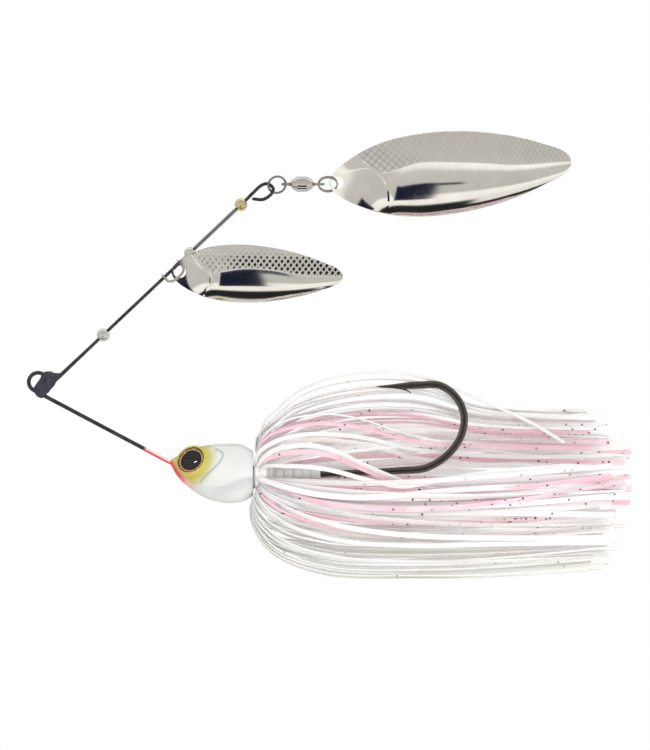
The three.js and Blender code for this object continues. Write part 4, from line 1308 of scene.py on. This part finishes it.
def make_floor():
    """A pale floor well below the lure; the metal mirrors the studio and not the floor."""
    data = bpy.data.meshes.new("floor")
    corners = [(x * FLOOR_HALF, y * FLOOR_HALF) for x, y in ((-1, -1), (1, -1), (1, 1), (-1, 1))]
    level = CAD_BOX[0][2] - FLOOR_DROP
    data.from_pydata([(x, y, level) for x, y in corners], [], [(0, 1, 2, 3)])
    floor = bpy.data.objects.new("floor", data)
    bpy.context.scene.collection.objects.link(floor)
    n = Nodes("pale_floor")
    n.set(Base_Color=n.mix(n.noise(60, 2), (0.84, 0.84, 0.83), (0.88, 0.88, 0.87)), Roughness=0.9)
    data.materials.append(n.owner)
    floor.visible_glossy = False


# Tones of the studio as seen from the lure: degrees from the camera's side toward +X, and the tone there.
STUDIO = [
    (-180, 0.6), (-80, 0.7), (-76, 0.02), (-59, 0.02), (-55, 1.0), (-40, 1.05), (-37, 0.58),
    (-10.4, 0.62), (-9.6, 1.15), (-7.4, 1.15), (-6.2, 0.62), (66, 0.56), (88, 0.45), (101, 0.5),
    (102, 4.5), (105, 4.5), (106, 0.6), (180, 0.6),
]
# Cards: from and to by that angle, from and to by the elevation toward -Z, softness, tone.
CARDS = [(-46, -21.5, -14, 3.2, 1.0, (0.012, 0.014, 0.035)), (-25, -22, 3, 9, 0.8, (0.05, 0.05, 0.07)),
         (-67, -53, 13, 70, 1.5, (0.9, 0.89, 0.87))]


def make_world():
    """White behind the lure; round it a pale studio with dark cards for the metal to mirror."""
    world = bpy.data.worlds.new("studio")
    bpy.context.scene.world = world
    n = Nodes(world)
    n.tree.nodes.clear()
    split = n.add("SeparateXYZ", Vector=n.add("TexCoord").outputs["Generated"])
    front = n.math("MULTIPLY", split.outputs["Y"], -1.0)
    round_z = n.math("DEGREES", n.math("ARCTAN2", split.outputs["X"], front))
    along = n.math("DEGREES", n.math("ARCSINE", n.math("MULTIPLY", split.outputs["Z"], -1.0)))
    ramp = n.add("ValToRGB", Fac=n.span(round_z, -180, 180, 0, 1))
    elements = ramp.color_ramp.elements
    while len(elements) < len(STUDIO):
        elements.new(0.5)
    for element, (degrees, tone) in zip(elements, STUDIO):
        element.position = (degrees + 180) / 360
        element.color = (tone, tone * 0.99, tone * 0.97, 1)
    colour = ramp.outputs["Color"]
    for low, high, start, end, soft, tone in CARDS:
        here = n.math("MULTIPLY", n.band(round_z, low, high, soft), n.band(along, start, end, soft))
        colour = n.mix(here, colour, tone)
    seen = n.mix(n.add("LightPath").outputs["Is Camera Ray"], colour, (1.0, 1.0, 1.0))
    back = n.add("Background", Color=seen)
    n.put(n.add("OutputWorld").inputs["Surface"], back.outputs[0])


def make_light(name, place, power, size):
    data = bpy.data.lights.new(name, "AREA")
    data.energy = power
    data.size = size
    lamp = bpy.data.objects.new(name, data)
    bpy.context.scene.collection.objects.link(lamp)
    lamp.location = place
    lamp.rotation_euler = (VIEW_CENTRE - Vector(place)).to_track_quat("-Z", "Y").to_euler()
    return lamp


def make_spark():
    """A small lamp seen only in the domes of the eyes."""
    lamp = make_light("spark", (0.88, -1.07, 0.51), 8.0, 0.15)
    domes = bpy.data.collections.new("spark_receivers")
    for name in ("left_eye_lens", "right_eye_lens"):
        domes.objects.link(bpy.data.objects[name])
    lamp.light_linking.receiver_collection = domes


make_camera()
make_floor()
make_world()
for lamp_settings in LAMPS:
    make_light(*lamp_settings).visible_glossy = False
make_wire()
make_sleeve()
make_arm_pieces()
make_clevis()
make_blade("small_blade", SMALL, coarse_scales, "small_blade")
make_blade("large_blade", LARGE, fine_scales, "large_blade")
make_front_ring()
make_swivel()
make_split_ring()
make_hook()
make_head()
make_keeper()
make_eyes()
make_spark()
make_band()
make_skirt()
bpy.context.scene.view_settings.view_transform = "Standard"
bpy.context.scene.cycles.transparent_max_bounces = 40
